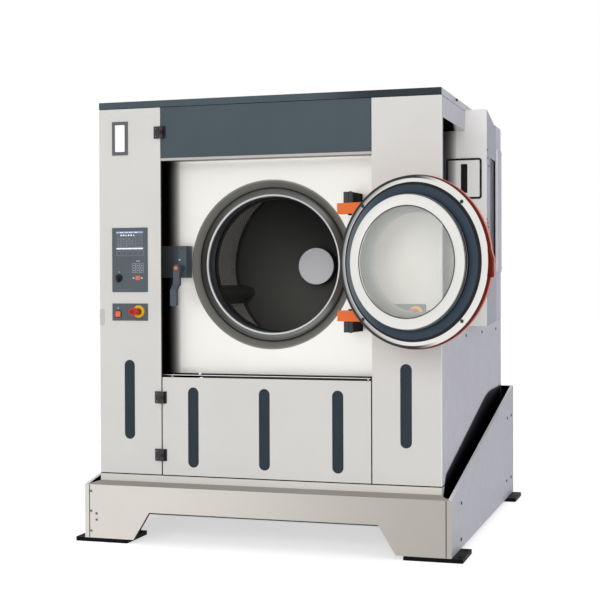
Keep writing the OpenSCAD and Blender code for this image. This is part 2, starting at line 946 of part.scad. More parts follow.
module stop_collars() {
    color("gold")
        for (x = [plate_x, right_plate_x])
            difference() {
                bar_y(x + stop_x, stop_axis_z, fy - plate_t - collar_t, fy - plate_t, collar_r);
                bar_y(x + stop_x, stop_axis_z, fy - plate_t - collar_t - 1, fy, stop_stem_r + pin_gap);
            }
}

// Fixed leaf of a panel hinge with its two outer knuckles and its pin
module fixed_leaf(z) {
    third = leaf_h / 3;
    span([-column_x - 34, fy - leaf_t, z - leaf_h / 2], [-column_x - 1, fy, z + leaf_h / 2]);
    for (k = [-1, 1])
        translate([0, 0, z + k * third - third / 2 + 0.3]) {
            translate([leaf_axis_x, leaf_axis_y, 0])
                cylinder(h = third - 0.6, r = knuckle_r);
            span([-column_x - 20, leaf_axis_y, 0], [leaf_axis_x, leaf_axis_y + 6, third - 0.6]);
            span([-column_x - 20, leaf_axis_y, 0], [-column_x - 12, fy, third - 0.6]);
        }
    translate([leaf_axis_x, leaf_axis_y, z - leaf_h / 2 + 1])
        cylinder(h = leaf_h - 2, r = hinge_pin_r);
}

// Swinging leaf of a panel hinge, its knuckle bored for the pin
module swing_leaf(z) {
    third = leaf_h / 3;
    difference() {
        translate([0, 0, z - third / 2 + 0.3]) {
            translate([leaf_axis_x, leaf_axis_y, 0])
                cylinder(h = third - 0.6, r = knuckle_r);
            span([leaf_axis_x, leaf_axis_y, 0], [leaf_axis_x + knuckle_r, fy, third - 0.6]);
        }
        translate([leaf_axis_x, leaf_axis_y, z - third])
            cylinder(h = 2 * third, r = hinge_pin_r + pin_gap);
    }
    span([leaf_axis_x + knuckle_r - 3, fy - leaf_t, z - leaf_h / 2],
         [leaf_axis_x + knuckle_r + 22, fy, z + leaf_h / 2]);
}

module panel_hinge_leaves() {
    color("black")
        for (z = [fascia_hinge_z, lower_hinge_hi, lower_hinge_lo])
            fixed_leaf(z);
}

module fascia_hinge() {
    color("black")
        swing_leaf(fascia_hinge_z);
}

module lower_hinges() {
    color("black")
        for (z = [lower_hinge_hi, lower_hinge_lo])
            swing_leaf(z);
}

// Shallow swinging panel with returns on its four edges
module swing_pan(x, z0, z1) {
    difference() {
        span([-x, fy, z0], [x, fy + swing_return, z1]);
        span([-x + sheet, fy + sheet, z0 + sheet], [x - sheet, fy + swing_return + 1, z1 - sheet]);
    }
}

module fascia_panel() {
    color("darkslategray")
        swing_pan(swing_x, fascia_z, panel_top);
}

module lower_panel() {
    color("gainsboro")
        difference() {
            swing_pan(lower_x, body_z, lower_top);
            for (k = [-1, 0, 1])
                upright(fy - 1, sheet + 2)
                    translate([k * lower_slot_gap - slot_w / 2, lower_slot_z])
                        slot_shape(slot_w, slot_l);
        }
}

module lower_windows() {
    color("darkslategray")
        for (k = [-1, 0, 1])
            window(k * lower_slot_gap, lower_slot_z);
}

module tower_cabinet() {
    inner_x = niche_x + gap;
    rear = tower_y + tower_d - seam;
    knee = tower_y + 243;
    color("lightgray") {
        difference() {
            union() {
                sideways(inner_x, tower_x - inner_x)
                    polygon([
                        [tower_y, niche_z], [rear, niche_z], [rear, tower_top - 44],
                        [knee, tower_top - 44], [tower_y, tower_top]
                    ]);
                sideways(bx + 1, tower_x - bx - 1)
                    polygon([
                        [tower_y, tower_top - 60], [knee, tower_top - 60],
                        [knee, tower_top - 44], [tower_y, tower_top + 8]
                    ]);
            }
            span([inner_x + tower_t, tower_y + tower_t, niche_z + 24 + tower_t],
                 [tower_x - tower_t, rear - tower_t, tower_shelf]);
            span([inner_x + tower_t, tower_y + tower_t, tower_shelf + tower_t],
                 [tower_x - tower_t, rear - tower_t, tower_top - 64]);
            span([hatch_x, tower_y - 1, hatch_low],
                 [hatch_x + hatch_w, tower_y + tower_t + 1, hatch_low + hatch_h]);
            span([tower_x - tower_t - 1, tower_y + tower_window_y, tower_shelf + 22],
                 [tower_x + 1, tower_y + tower_window_y + tower_window_w,
                  tower_shelf + 22 + tower_window_h]);
            sideways(bx, tower_x - bx + 1)
                polygon([[tower_y, niche_z - 1], [rear + 1, niche_z - 1], [rear + 1, niche_z + 24]]);
        }
        span([tower_x, tower_y + tower_cover_y, niche_z + tower_cover_low],
             [tower_x + 8, rear, niche_z + tower_cover_low + tower_cover_h]);
        for (s = [-1, 1])
            hatch_lugs(hatch_z + s * hatch_hinge_gap);
    }
}

// Two lugs on the tower front that hold the pin of a hatch hinge at z
module hatch_lugs(z) {
    near = hatch_knuckle_l / 2 + gap;
    for (low = [z + near, z - near - hatch_lug_h])
        translate([hatch_axis_x, hatch_axis_y, low])
            linear_extrude(hatch_lug_h)
                union() {
                    circle(r = hatch_knuckle_r);
                    translate([-hatch_knuckle_r, 0])
                        square([2 * hatch_knuckle_r, hatch_rim_t + 1]);
                }
    translate([hatch_axis_x, hatch_axis_y, z - near - hatch_lug_h + 1])
        cylinder(h = 2 * (near + hatch_lug_h - 1), r = hatch_pin_r);
}

module hatch_gasket() {
    notch = hatch_knuckle_l / 2 + gap + hatch_lug_h + 0.5;
    color("black")
        difference() {
            upright(tower_y - hatch_rim_t, hatch_rim_t)
                translate([hatch_x - hatch_rim, hatch_low - hatch_rim])
                    round_rect(hatch_w + 2 * hatch_rim, hatch_h + 2 * hatch_rim, hatch_rim + 4);
            upright(tower_y - hatch_rim_t - 1, hatch_rim_t + 2)
                translate([hatch_x, hatch_low])
                    round_rect(hatch_w, hatch_h, 5);
            for (s = [-1, 1])
                translate([0, 0, hatch_z + s * hatch_hinge_gap])
                    span([hatch_x + hatch_w - 1, tower_y - hatch_rim_t - 1, -notch],
                         [hatch_axis_x + hatch_knuckle_r + 0.5, tower_y + 1, notch]);
        }
}

module tower_hatch() {
    front = tower_y - 4;
    color("lightgray")
        difference() {
            union() {
                upright(front, sheet)
                    translate([hatch_x + gap, hatch_low + gap])
                        round_rect(hatch_w - 2 * gap, hatch_h - 2 * gap, 4.7);
                span([hatch_x + 62, front, hatch_low + 17],
                     [hatch_x + 104, tower_y + grip_d, hatch_low + hatch_h - 15]);
                for (s = [-1, 1])
                    translate([0, 0, hatch_z + s * hatch_hinge_gap - hatch_knuckle_l / 2]) {
                        translate([hatch_axis_x, hatch_axis_y, 0])
                            cylinder(h = hatch_knuckle_l, r = hatch_knuckle_r);
                        span([hatch_axis_x - 8, front, 0], [hatch_axis_x, front + 2, hatch_knuckle_l]);
                    }
            }
            span([hatch_x + 66, front - 1, hatch_low + 21],
                 [hatch_x + 100, tower_y + grip_d - sheet, hatch_low + hatch_h - 19]);
            translate([hatch_axis_x, hatch_axis_y, hatch_low])
                cylinder(h = hatch_h, r = hatch_pin_r + pin_gap);
        }
}

module door_lock() {
    right = -lock_x;
    left = -column_x + gap;
    color("darkslategray")
        difference() {
            translate([0, 0, lock_z])
                linear_extrude(lock_h)
                    polygon([
                        [left, fy + 14], [right - lock_face, fy + lock_front], [right, fy + lock_front],
                        [right, recess_y], [left, recess_y]
                    ]);
            bar_y(-lever_x, lever_z, fy + lock_front - 1, fy + lock_front + 30, 9 + pin_gap);
        }
}

module lock_lever() {
    hub_y = fy + lock_front;
    upper = lever_l * 0.46;
    color("dimgray") {
        difference() {
            bar_y(-lever_x, lever_z, fy - 8 - lever_t, hub_y - gap, 17);
            bar_y(-lever_x, lever_z, fy - 9 - lever_t, fy - 18, 9 + pin_gap);
        }
        bar_y(-lever_x, lever_z, hub_y - 1, hub_y + 26, 9);
        difference() {
            union() {
                upright(fy - 8 - lever_t, lever_t)
                    translate([-lever_x - lever_w / 2, lever_z - upper])
                        square([lever_w, upper]);
                sideways(-lever_x - lever_w / 2 - 4, lever_w)
                    polygon([
                        [fy - 8 - lever_t, lever_z - upper + 4], [fy - 8, lever_z - upper + 4],
                        [fy - 16 - lever_t, lever_z - upper - 22],
                        [fy - 16 - 2 * lever_t, lever_z - upper - 22]
                    ]);
                upright(fy - 16 - 2 * lever_t, lever_t)
                    translate([-lever_x - lever_w / 2 - 4, lever_z - lever_l])
                        round_rect(lever_w, lever_l - upper - 18, 8);
            }
            bar_y(-lever_x, lever_z, fy - 9 - lever_t, fy - 18, 9 + pin_gap);
        }
    }
}

module lock_button() {
    color("orangered")
        bar_y(-lever_x, lever_z, fy - 13 - lever_t, fy - 24, 9);
}

// Door pieces are drawn closed and swung to the open rest position
module swung() {
    translate([hinge_x, hinge_y, 0])
        rotate([0, 0, door_open])
            translate([-hinge_x, -hinge_y, 0])
                children();
}

// Profile of the formed door frame: flange, cone, inner ring and glass seat
module frame_profile() {
    t = 3;
    polygon([
        [door_r, door_y], [door_r, door_y - flange_t], [seal_r - 14, door_y - flange_t],
        [ring_r - 12, door_y + ring_h - t - 4], [glass_r + 30, door_y + ring_h - t - 4],
        [glass_r + 30, door_y + ring_h - t], [glass_r, door_y + ring_h - t],
        [glass_r, door_y + ring_h], [ring_r, door_y + ring_h],
        [ring_r - 3, door_y + ring_h - 5], [seal_r - 6, door_y]
    ]);
}

module door_frame() {
    color("white")
        swung()
            turned(0, axis_z)
                frame_profile();
}

module door_seal() {
    color("darkslategray")
        swung() {
            turned(0, axis_z)
                polygon([
                    [seal_r, door_y + 0.2], [seal_r - 5, door_y + 0.2],
                    [ring_r - 1.6, door_y + ring_h - 5], [ring_r + 1, door_y + ring_h - 1],
                    [ring_r + 5, door_y + ring_h - 5]
                ]);
            turned(0, axis_z)
                polygon([
                    [door_r + 3, door_y - flange_t], [door_r + 3, door_y - flange_t - 5],
                    [door_r - 14, door_y - flange_t - 5], [door_r - 14, door_y - flange_t]
                ]);
        }
}

module door_glass() {
    back = door_y + ring_h - 3 - 0.1;
    color([0.8, 0.85, 0.85, 0.35])
        swung()
            bar_y(0, axis_z, back - glass_t, back, glass_r + 28);
}

// Quarter of a round edge between the wall and the face of the door shell
function round_edge(r, cr, cy) = [for (a = [0 : 10 : 90]) [cr + r * cos(a), cy - r * sin(a)]];

// Profile of the hollow door shell
module shell_profile() {
    y0 = door_y - flange_t - 5;
    y1 = y0 - shell_d;
    polygon(concat(
        [[door_r, y0]],
        round_edge(shell_round, door_r - shell_round, y1 + shell_round),
        [[shell_open_r + 6, y1], [shell_open_r, y1 + 6], [shell_open_r, y0 - 2],
         [shell_open_r + shell_wall, y0 - 2], [shell_open_r + shell_wall, y1 + 8],
         [shell_open_r + 10, y1 + shell_wall]],
        [for (a = [90 : -10 : 0]) [
            door_r - shell_round + (shell_round - shell_wall) * cos(a),
            y1 + shell_round - (shell_round - shell_wall) * sin(a)
        ]],
        [[door_r - shell_wall, y0]]
    ));
}

module door_shell() {
    y0 = door_y - flange_t - 5;
    color("orangered")
        swung() {
            turned(0, axis_z)
                shell_profile();
            difference() {
                upright(y0 - shell_d + 10, shell_d - 10)
                    polygon([
                        [-door_r + 8, axis_z + 96], [-door_r - 18, axis_z + 54], [-door_r - 18, axis_z - 66],
                        [-door_r - 2, axis_z - 70], [-door_r + 8, axis_z - 70]
                    ]);
                bar_y(0, axis_z, y0 - shell_d, y0 + 1, door_r - 2);
            }
        }
}

// Door arm in plan: a block round the pin, drawn out to a foot on the shell
module arm_plan() {
    face = door_y - flange_t - 5 - shell_d;
    foot_end = arm_foot_x + arm_foot_w;
    back = hinge_y + arm_t / 2;
    front = hinge_y - arm_t / 2;
    polygon([
        [hinge_x + arm_t - 8, front], [hinge_x + arm_t, front + 8], [hinge_x + arm_t, back],
        [foot_end + 34, back], [foot_end, face], [arm_foot_x, face], [arm_foot_x, face - 30],
        [arm_foot_x + 42, front]
    ]);
}

module door_arms() {
    color("darkorange")
        swung()
            for (s = [-1, 1])
                difference() {
                    translate([0, 0, hinge_z + s * arm_mid - arm_h / 2])
                        linear_extrude(arm_h)
                            arm_plan();
                    translate([hinge_x, hinge_y, hinge_z + s * arm_mid - arm_h])
                        cylinder(h = 2 * arm_h, r = pin_r + pin_gap);
                }
}

// Bracket bolted to the stainless front, with the turned pin and its nut
module door_bracket(s) {
    low = arm_inner / 2 + arm_h + arm_gap;
    mirror([0, 0, s < 0 ? 1 : 0]) {
        translate([0, 0, low])
            linear_extrude(bracket_h)
                union() {
                    polygon([
                        [hinge_x - 30, hinge_y], [hinge_x + 12, hinge_y], [hinge_x + 24, recess_y],
                        [hinge_x - 34, recess_y]
                    ]);
                    translate([hinge_x - 8, hinge_y])
                        circle(r = 22);
                }
        translate([0, 0, low - 8])
            linear_extrude(bracket_h + 24)
                translate([hinge_x - 6 - bracket_plate_w / 2, recess_y - 8])
                    square([bracket_plate_w, 8]);
        translate([hinge_x, hinge_y, low - arm_gap - arm_h - 6])
            cylinder(h = bracket_h / 2 + arm_h + arm_gap + 6, r = pin_r);
        translate([hinge_x, hinge_y, low - arm_gap - arm_h - 14])
            cylinder(h = 13, r = 17, $fn = 6);
    }
}

module door_brackets() {
    color("black")
        translate([0, 0, hinge_z])
            for (s = [-1, 1])
                door_bracket(s);
}

module mouth_seal() {
    color("gray")
        turned(0, axis_z)
            polygon([
                [mouth_r, recess_y - 2], [mouth_r, recess_y], [mouth_r - 3, recess_y],
                [mouth_r - 3, recess_y + 8], [groove_r + 7, recess_y + groove_d + 8],
                [groove_r, recess_y + groove_d + 8], [groove_r, recess_y + groove_d],
                [mouth_r - 5, recess_y - 2]
            ]);
}

module mouth_ring() {
    color("silver")
        turned(0, axis_z)
            polygon([
                [groove_r - gap, recess_y + groove_d], [nose_r, recess_y + nose_d],
                [throat_r + 3, recess_y + nose_d], [throat_r, recess_y + nose_d + 3],
                [throat_r, tub_front + 20], [throat_r + 6, tub_front + 20],
                [throat_r + 6, recess_y + nose_d + 14], [groove_r - 5, recess_y + groove_d + 8],
                [groove_r - 5, tub_front], [groove_r - gap, tub_front]
            ]);
}

module outer_tub() {
    color("silver") {
        turned(0, axis_z)
            polygon([
                [groove_r, tub_front - tub_t], [tub_r + tub_t, tub_front - tub_t],
                [tub_r + tub_t, tub_back + tub_t], [shaft_r + 12, tub_back + tub_t],
                [shaft_r + 12, tub_back], [tub_r, tub_back], [tub_r, tub_front], [groove_r, tub_front]
            ]);
        difference() {
            translate([0, sump_y, sump_z])
                cylinder(h = sump_l + 50, r = drain_r + sump_flange);
            bar_y(0, axis_z, tub_front, tub_back, tub_r + 1);
            translate([0, sump_y, sump_z - 1])
                cylinder(h = sump_l + 52, r = drain_r);
        }
    }
}

// Saddle plate that carries the tub on two chassis beams
module saddle(y) {
    foot = saddle_foot_w / 2;
    side = saddle_w / 2;
    top = axis_z - tub_r + 210;
    hole_top = axis_z - tub_r - 110;
    difference() {
        upright(y, saddle_t)
            polygon([
                [-foot, chassis_top], [foot, chassis_top], [side, top - saddle_side], [side, top],
                [-side, top], [-side, top - saddle_side]
            ]);
        bar_y(0, axis_z, y - 1, y + saddle_t + 1, tub_r + tub_t + gap);
        upright(y - 1, saddle_t + 2)
            polygon([
                [-foot * 0.6, chassis_top + 60], [foot * 0.6, chassis_top + 60],
                [side * 0.52, hole_top], [-side * 0.52, hole_top]
            ]);
    }
}

module tub_cradle() {
    foot = saddle_foot_w / 2;
    color("dimgray") {
        saddle(tub_front + saddle_inset);
        saddle(tub_back - saddle_inset);
        span([-foot, motor_y - 20, chassis_top], [foot, rail_end, chassis_top + rail_t]);
        for (s = [-1, 1])
            span([s * motor_foot_x - motor_foot_w / 2, motor_y + 20, chassis_top + rail_t],
                 [s * motor_foot_x + motor_foot_w / 2, rail_end - 40, motor_z - motor_r + rail_t]);
    }
}

module bearing_housing() {
    y0 = tub_back + tub_t;
    color("dimgray")
        difference() {
            union() {
                bar_y(0, axis_z, y0, y0 + 24, housing_flange_r);
                bar_y(0, axis_z, y0, housing_end, housing_r);
                for (a = [0 : 60 : 300])
                    translate([0, y0, axis_z])
                        rotate([0, a, 0])
                            translate([-8, 0, 0])
                                span([0, 0, 0], [16, housing_l * 0.6, housing_flange_r - 40]);
            }
            bar_y(0, axis_z, y0 - 1, y0 + bearing_w, bearing_r);
            bar_y(0, axis_z, y0, housing_end, shaft_r + 20);
            bar_y(0, axis_z, housing_end - bearing_w, housing_end + 1, bearing_r);
        }
}

module main_bearings() {
    y0 = tub_back + tub_t;
    color("silver")
        for (y = [y0, housing_end - bearing_w])
            difference() {
                bar_y(0, axis_z, y, y + bearing_w, bearing_r - gap);
                bar_y(0, axis_z, y - 1, y + bearing_w + 1, shaft_r + pin_gap);
            }
}

// One drum lifter: a rounded rib along the drum wall
module lifter() {
    top = lifter_w * 0.42;
    translate([0, drum_front + drum_t, 0])
        rotate([-90, 0, 0])
            linear_extrude(drum_d - drum_t)
                polygon([
                    [-lifter_w / 2, drum_r * 0.998], [-top / 2, drum_r - lifter_h + 8],
                    [-top / 2 + 8, drum_r - lifter_h], [top / 2 - 8, drum_r - lifter_h],
                    [top / 2, drum_r - lifter_h + 8], [lifter_w / 2, drum_r * 0.998]
                ]);
}

module wash_drum() {
    color("silver") {
        turned(0, axis_z)
            polygon([
                [drum_open_r, drum_front - 18], [drum_open_r + drum_t, drum_front - 18],
                [drum_open_r + drum_t, drum_front], [drum_r + drum_t, drum_front],
                [drum_r + drum_t, drum_back + drum_t], [shaft_r + 20, drum_back + drum_t],
                [shaft_r + 20, drum_back], [drum_r, drum_back],
                [drum_r, drum_front + drum_t], [drum_open_r, drum_front + drum_t]
            ]);
        intersection() {
            bar_y(0, axis_z, drum_front + 1, drum_back + 1, drum_r + 1);
            for (a = [0, 120, 240])
                translate([0, 0, axis_z])
                    rotate([0, a + 71, 0])
                        lifter();
        }
        difference() {
            turned(0, axis_z)
                polygon([
                    [0, drum_back - hub_h], [hub_r - 8, drum_back - hub_h], [hub_r, drum_back - hub_h + 8],
                    [hub_r, drum_back], [0, drum_back]
                ]);
            bar_y(0, axis_z, drum_back - hub_h + 6, drum_back + 1, hub_r - 6);
        }
    }
}

module drum_shaft() {
    plate = drum_back + drum_t;
    color("gray") {
        bar_y(0, axis_z, drum_back - 40, plate, shaft_r);
        bar_y(0, axis_z, plate, plate + 30, shaft_r + 45);
        bar_y(0, axis_z, plate, pulley_y + belt_w + 14, shaft_r);
        for (a = [0, 120, 240])
            translate([0, plate, axis_z])
                rotate([0, a + 11, 0])
                    span([-30, 0, 0], [30, 24, drum_r - 10]);
    }
}

module drive_pulley() {
    color("dimgray")
        difference() {
            union() {
                turned(0, axis_z)
                    polygon([
                        [pulley_r - 24, pulley_y - 5], [pulley_r + 8, pulley_y - 5],
                        [pulley_r + 8, pulley_y], [pulley_r, pulley_y],
                        [pulley_r, pulley_y + belt_w + 2], [pulley_r + 8, pulley_y + belt_w + 2],
                        [pulley_r + 8, pulley_y + belt_w + 7], [pulley_r - 24, pulley_y + belt_w + 7]
                    ]);
                bar_y(0, axis_z, pulley_y + 22, pulley_y + 38, pulley_r - 20);
                bar_y(0, axis_z, pulley_y, pulley_y + belt_w, shaft_r + 40);
            }
            bar_y(0, axis_z, pulley_y - 6, pulley_y + belt_w + 20, shaft_r);
            for (a = [0 : 60 : 300])
                translate([0, pulley_y, axis_z])
                    rotate([0, a, 0])
                        translate([0, 0, (pulley_r + shaft_r) / 2 + 8])
                            rotate([-90, 0, 0])
                                cylinder(h = belt_w, r = 66);
        }
}

module drive_motor() {
    y0 = motor_y;
    y1 = y0 + motor_l;
    color("steelblue") {
        bar_y(0, motor_z, y0 + 12, y1 - 12, motor_r - 12);
        for (y = [y0, y1 - 24])
            bar_y(0, motor_z, y, y + 24, motor_r);
        for (a = [0 : 15 : 345])
            translate([0, y0 + 20, motor_z])
                rotate([0, a, 0])
                    span([-2.5, 0, motor_r - 30], [2.5, motor_l - 40, motor_r - 2]);
        span([-70, y0 + 90, motor_z + motor_r - 22], [70, y0 + 230, motor_z + motor_r + 48]);
        for (s = [-1, 1])
            span([s * motor_foot_x - motor_foot_w / 2, y0 + 24, motor_z - motor_r + rail_t],
                 [s * motor_foot_x + motor_foot_w / 2, y1 - 74, motor_z - 70]);
    }
}

module motor_pulley() {
    color("gray") {
        bar_y(0, motor_z, motor_y + motor_l + 0.5, pulley_y + belt_w + 7, motor_shaft_r);
        turned(0, motor_z)
            polygon([
                [motor_shaft_r - 1, pulley_y - 5], [pinion_r + 8, pulley_y - 5], [pinion_r + 8, pulley_y],
                [pinion_r, pulley_y], [pinion_r, pulley_y + belt_w + 2],
                [pinion_r + 8, pulley_y + belt_w + 2], [pinion_r + 8, pulley_y + belt_w + 7],
                [motor_shaft_r - 1, pulley_y + belt_w + 7]
            ]);
    }
}

// Outline round the two pulleys, both grown by out
module belt_outline(out) {
    hull() {
        translate([0, axis_z])
            circle(pulley_r + out, $fn = 180);
        translate([0, motor_z])
            circle(pinion_r + out, $fn = 180);
    }
}

module drive_belt() {
    color("black")
        upright(pulley_y + 1, belt_w)
            difference() {
                belt_outline(belt_t + belt_gap);
                belt_outline(belt_gap);
            }
}

module drain_valve() {
    body = sump_z - valve_l - 90;
    color("darkgray")
        difference() {
            union() {
                translate([0, sump_y, drain_z])
                    cylinder(h = sump_z - drain_z, r = drain_r);
                translate([0, sump_y, sump_z - 14])
                    cylinder(h = 14, r = drain_r + sump_flange);
                translate([0, sump_y, body])
                    cylinder(h = valve_l, r = drain_r + 26);
                span([-valve_l / 3, sump_y - valve_l, body + 10],
                     [valve_l / 3, sump_y - drain_r - 2, body + valve_l - 20]);
            }
            translate([0, sump_y, drain_z - 1])
                cylinder(h = sump_z, r = drain_r - 3);
        }
}

module water_inlets() {
    rail_x = inlet_gap + coil_w / 2 + 10;
    color("goldenrod") {
        for (x = [-1, 0, 1]) {
            bar_y(x * inlet_gap, inlet_z, by - inlet_d + 40, by + 34, inlet_r);
            bar_y(x * inlet_gap, inlet_z, by, by + 6, inlet_r + 9);
            span([x * inlet_gap - coil_w / 2, by - inlet_d, inlet_z - coil_w / 2],
                 [x * inlet_gap + coil_w / 2, by - inlet_d + 50, inlet_z + coil_w / 2 + 20]);
        }
        span([-rail_x, by - inlet_d - sheet, inlet_z - coil_w / 2 - 10],
             [rail_x, by - inlet_d, body_top - post]);
        span([-rail_x, by - inlet_d - sheet, body_top - post - sheet],
             [rail_x, by - sheet - post, body_top - post]);
        difference() {
            union() {
                bar_y(-3 * inlet_gap, inlet_z, by - 20, by + 20, 25.5);
                bar_y(-3 * inlet_gap, inlet_z, by, by + 8, 32);
            }
            bar_y(-3 * inlet_gap, inlet_z, by - 21, by + 21, 16);
        }
    }
}

module key_switch() {
    y0 = fy - plate_t;
    color("black") {
        bar_y(key_x, key_z, y0 - 9, y0 - gap, key_r);
        bar_y(key_x, key_z, y0 - 1, fy + button_l, key_shaft_r);
        upright(y0 - 20, 11)
            translate([key_x - 4, key_z - key_r - 8])
                round_rect(8, 2 * key_r + 4, 3);
    }
}

// Square push button on the stop plate at x
module start_button(x) {
    color("orangered")
        span([x + start_x - start_w / 2, fy - plate_t - 5, start_axis_z - start_w / 2],
             [x + start_x + start_w / 2, fy + button_l, start_axis_z + start_w / 2]);
}

module start_button_left() {
    start_button(plate_x);
}

module start_button_right() {
    start_button(right_plate_x);
}

// Mushroom head on its stem, with the release key in its face
module stop_button(x) {
    cx = x + stop_x;
    head_y = fy - plate_t - stop_stem_l;
    color("red")
        turned(cx, stop_axis_z)
            polygon([
                [0, head_y - stop_head_l], [stop_head_r - 5, head_y - stop_head_l],
                [stop_head_r, head_y - stop_head_l + 5], [stop_head_r, head_y - 6],
                [stop_stem_r, head_y], [stop_stem_r, fy + button_l], [0, fy + button_l]
            ]);
    color("gold") {
        bar_y(cx, stop_axis_z, head_y - stop_head_l - 14, head_y - stop_head_l + 2, 6);
        upright(head_y - stop_head_l - 38, 26)
            translate([cx - 2.5, stop_axis_z - 11])
                round_rect(5, 22, 2);
    }
}

module stop_button_left() {
    stop_button(plate_x);
}

module stop_button_right() {
    stop_button(right_plate_x);
}

base_front_plate();
base_rear_plate();
base_side_plates();
base_beams();
foot_plates();
air_bellows();
chassis_frame();
cabinet_frame();
column_left();
column_right();
top_cover();
cover_trim();
side_panels_left();
side_panels_right();
niche_panels();
rear_panels();
stainless_front();
slot_windows();
name_window();
control_plates();
control_display();
stop_collars();
panel_hinge_leaves();
tower_cabinet();
hatch_gasket();
door_lock();
door_brackets();
mouth_seal();
mouth_ring();
outer_tub();
tub_cradle();
bearing_housing();
main_bearings();
drive_motor();
drain_valve();
water_inlets();
key_switch();
start_button_left();
start_button_right();
stop_button_left();
stop_button_right();
fascia_panel();
fascia_hinge();
lower_panel();
lower_hinges();
lower_windows();
tower_hatch();
lock_lever();
lock_button();
door_frame();
door_shell();
door_seal();
door_glass();
door_arms();
wash_drum();
drum_shaft();
drive_pulley();
motor_pulley();
drive_belt();
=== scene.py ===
import math

import bpy
import bmesh
from mathutils import Matrix, Vector


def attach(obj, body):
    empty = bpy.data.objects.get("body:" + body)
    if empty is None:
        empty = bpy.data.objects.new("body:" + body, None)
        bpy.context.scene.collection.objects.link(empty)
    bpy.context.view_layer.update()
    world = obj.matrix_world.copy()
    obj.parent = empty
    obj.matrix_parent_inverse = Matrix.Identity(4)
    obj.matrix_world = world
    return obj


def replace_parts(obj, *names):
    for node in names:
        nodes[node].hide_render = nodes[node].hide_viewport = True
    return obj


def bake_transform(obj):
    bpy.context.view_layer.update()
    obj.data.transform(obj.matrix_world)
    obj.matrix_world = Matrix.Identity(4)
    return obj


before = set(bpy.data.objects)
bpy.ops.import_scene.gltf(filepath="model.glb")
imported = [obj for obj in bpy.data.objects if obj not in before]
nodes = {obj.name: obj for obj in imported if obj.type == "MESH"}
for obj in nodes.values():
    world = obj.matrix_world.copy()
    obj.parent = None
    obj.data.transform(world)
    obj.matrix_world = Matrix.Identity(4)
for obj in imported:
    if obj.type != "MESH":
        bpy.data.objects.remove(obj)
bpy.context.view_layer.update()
print("frame loaded,", len(nodes), "nodes")

mm = 0.001  # the meshes are written in millimetres, the zones of a finish in metres
axisHeight = 1388  # drum axis
cabinetFront, cabinetRear, cabinetSide = -942, 920, 875
baseFront, baseRear, baseSide = -1007, 1037, 932
lockFace = -928


# camera at the photograph's viewpoint
camera = {
    "place": (2.0445, -6.9647, 1.3013),  # metres
    "lens": 78.47,
    "yaw": 17.166,   # degrees, towards the left of the machine
    "pitch": -0.791,
    "roll": -0.192,
}


def setCamera(c):
    yaw, pitch, roll = (math.radians(c[k]) for k in ("yaw", "pitch", "roll"))
    ahead = Vector((-math.sin(yaw) * math.cos(pitch), math.cos(yaw) * math.cos(pitch), math.sin(pitch)))
    side = Vector((math.cos(yaw), math.sin(yaw), 0))
    up = side.cross(ahead)
    side2 = side * math.cos(roll) + up * math.sin(roll)
    up2 = up * math.cos(roll) - side * math.sin(roll)
    data = bpy.data.cameras.new("viewCamera")
    data.lens = c["lens"]
    data.sensor_width = 36
    data.clip_end = 200
    obj = bpy.data.objects.new("viewCamera", data)
    turn = Matrix((side2, up2, -ahead)).transposed().to_4x4()
    obj.matrix_world = Matrix.Translation(Vector(c["place"])) @ turn
    bpy.context.scene.collection.objects.link(obj)
    bpy.context.scene.camera = obj


setCamera(camera)
bpy.context.scene.view_settings.view_transform = "Standard"
print("camera set")


def tone(r, g, b):  # a colour as a paint chart gives it, 0 to 255
    def linear(v):
        v /= 255
        return v / 12.92 if v <= 0.04045 else ((v + 0.055) / 1.055) ** 2.4
    return (linear(r), linear(g), linear(b), 1)


def scaled(colour, by):
    return tuple(min(1, max(0, v * by)) for v in colour[:3]) + (1,)


def addNode(tree, kind, sockets=None, **settings):
    node = tree.nodes.new(kind)
    for key, value in settings.items():
        setattr(node, key, value)
    for key, value in (sockets or {}).items():
        node.inputs[key].default_value = value
    return node


def mathNode(tree, operation, a, b=None, c=None, clamp=False):
    node = addNode(tree, "ShaderNodeMath", operation=operation, use_clamp=clamp)
    for i, v in enumerate((a, b, c)):
        if v is None:
            continue
        if isinstance(v, (int, float)):
            node.inputs[i].default_value = v
        else:
            tree.links.new(v, node.inputs[i])
    return node.outputs[0]


def times(tree, *factors):
    result = factors[0]
    for factor in factors[1:]:
        result = mathNode(tree, "MULTIPLY", result, factor)
    return result


def mixColour(tree, factor, a, b):  # three numbers are a colour from 0 to 255
    node = addNode(tree, "ShaderNodeMix", data_type="RGBA")
    for socket, v in ((node.inputs[0], factor), (node.inputs[6], a), (node.inputs[7], b)):
        if isinstance(v, tuple):
            socket.default_value = tone(*v) if len(v) == 3 else v
        elif isinstance(v, (int, float)):
            socket.default_value = v
        else:
            tree.links.new(v, socket)
    return node.outputs[2]


def ranged(tree, value, low, high, outLow=0.0, outHigh=1.0, smooth=True):
    node = addNode(tree, "ShaderNodeMapRange",
                   {"From Min": low, "From Max": high, "To Min": outLow, "To Max": outHigh},
                   interpolation_type="SMOOTHSTEP" if smooth else "LINEAR")
    tree.links.new(value, node.inputs["Value"])
    return node.outputs["Result"]


def noise(tree, place, scale, detail=2.0, stretch=None, rough=0.5):
    if stretch:
        squeeze = addNode(tree, "ShaderNodeMapping", {"Scale": stretch})
        tree.links.new(place, squeeze.inputs["Vector"])
        place = squeeze.outputs["Vector"]
    node = addNode(tree, "ShaderNodeTexNoise", {"Scale": scale, "Detail": detail, "Roughness": rough})
    tree.links.new(place, node.inputs["Vector"])
    return node.outputs["Fac"]


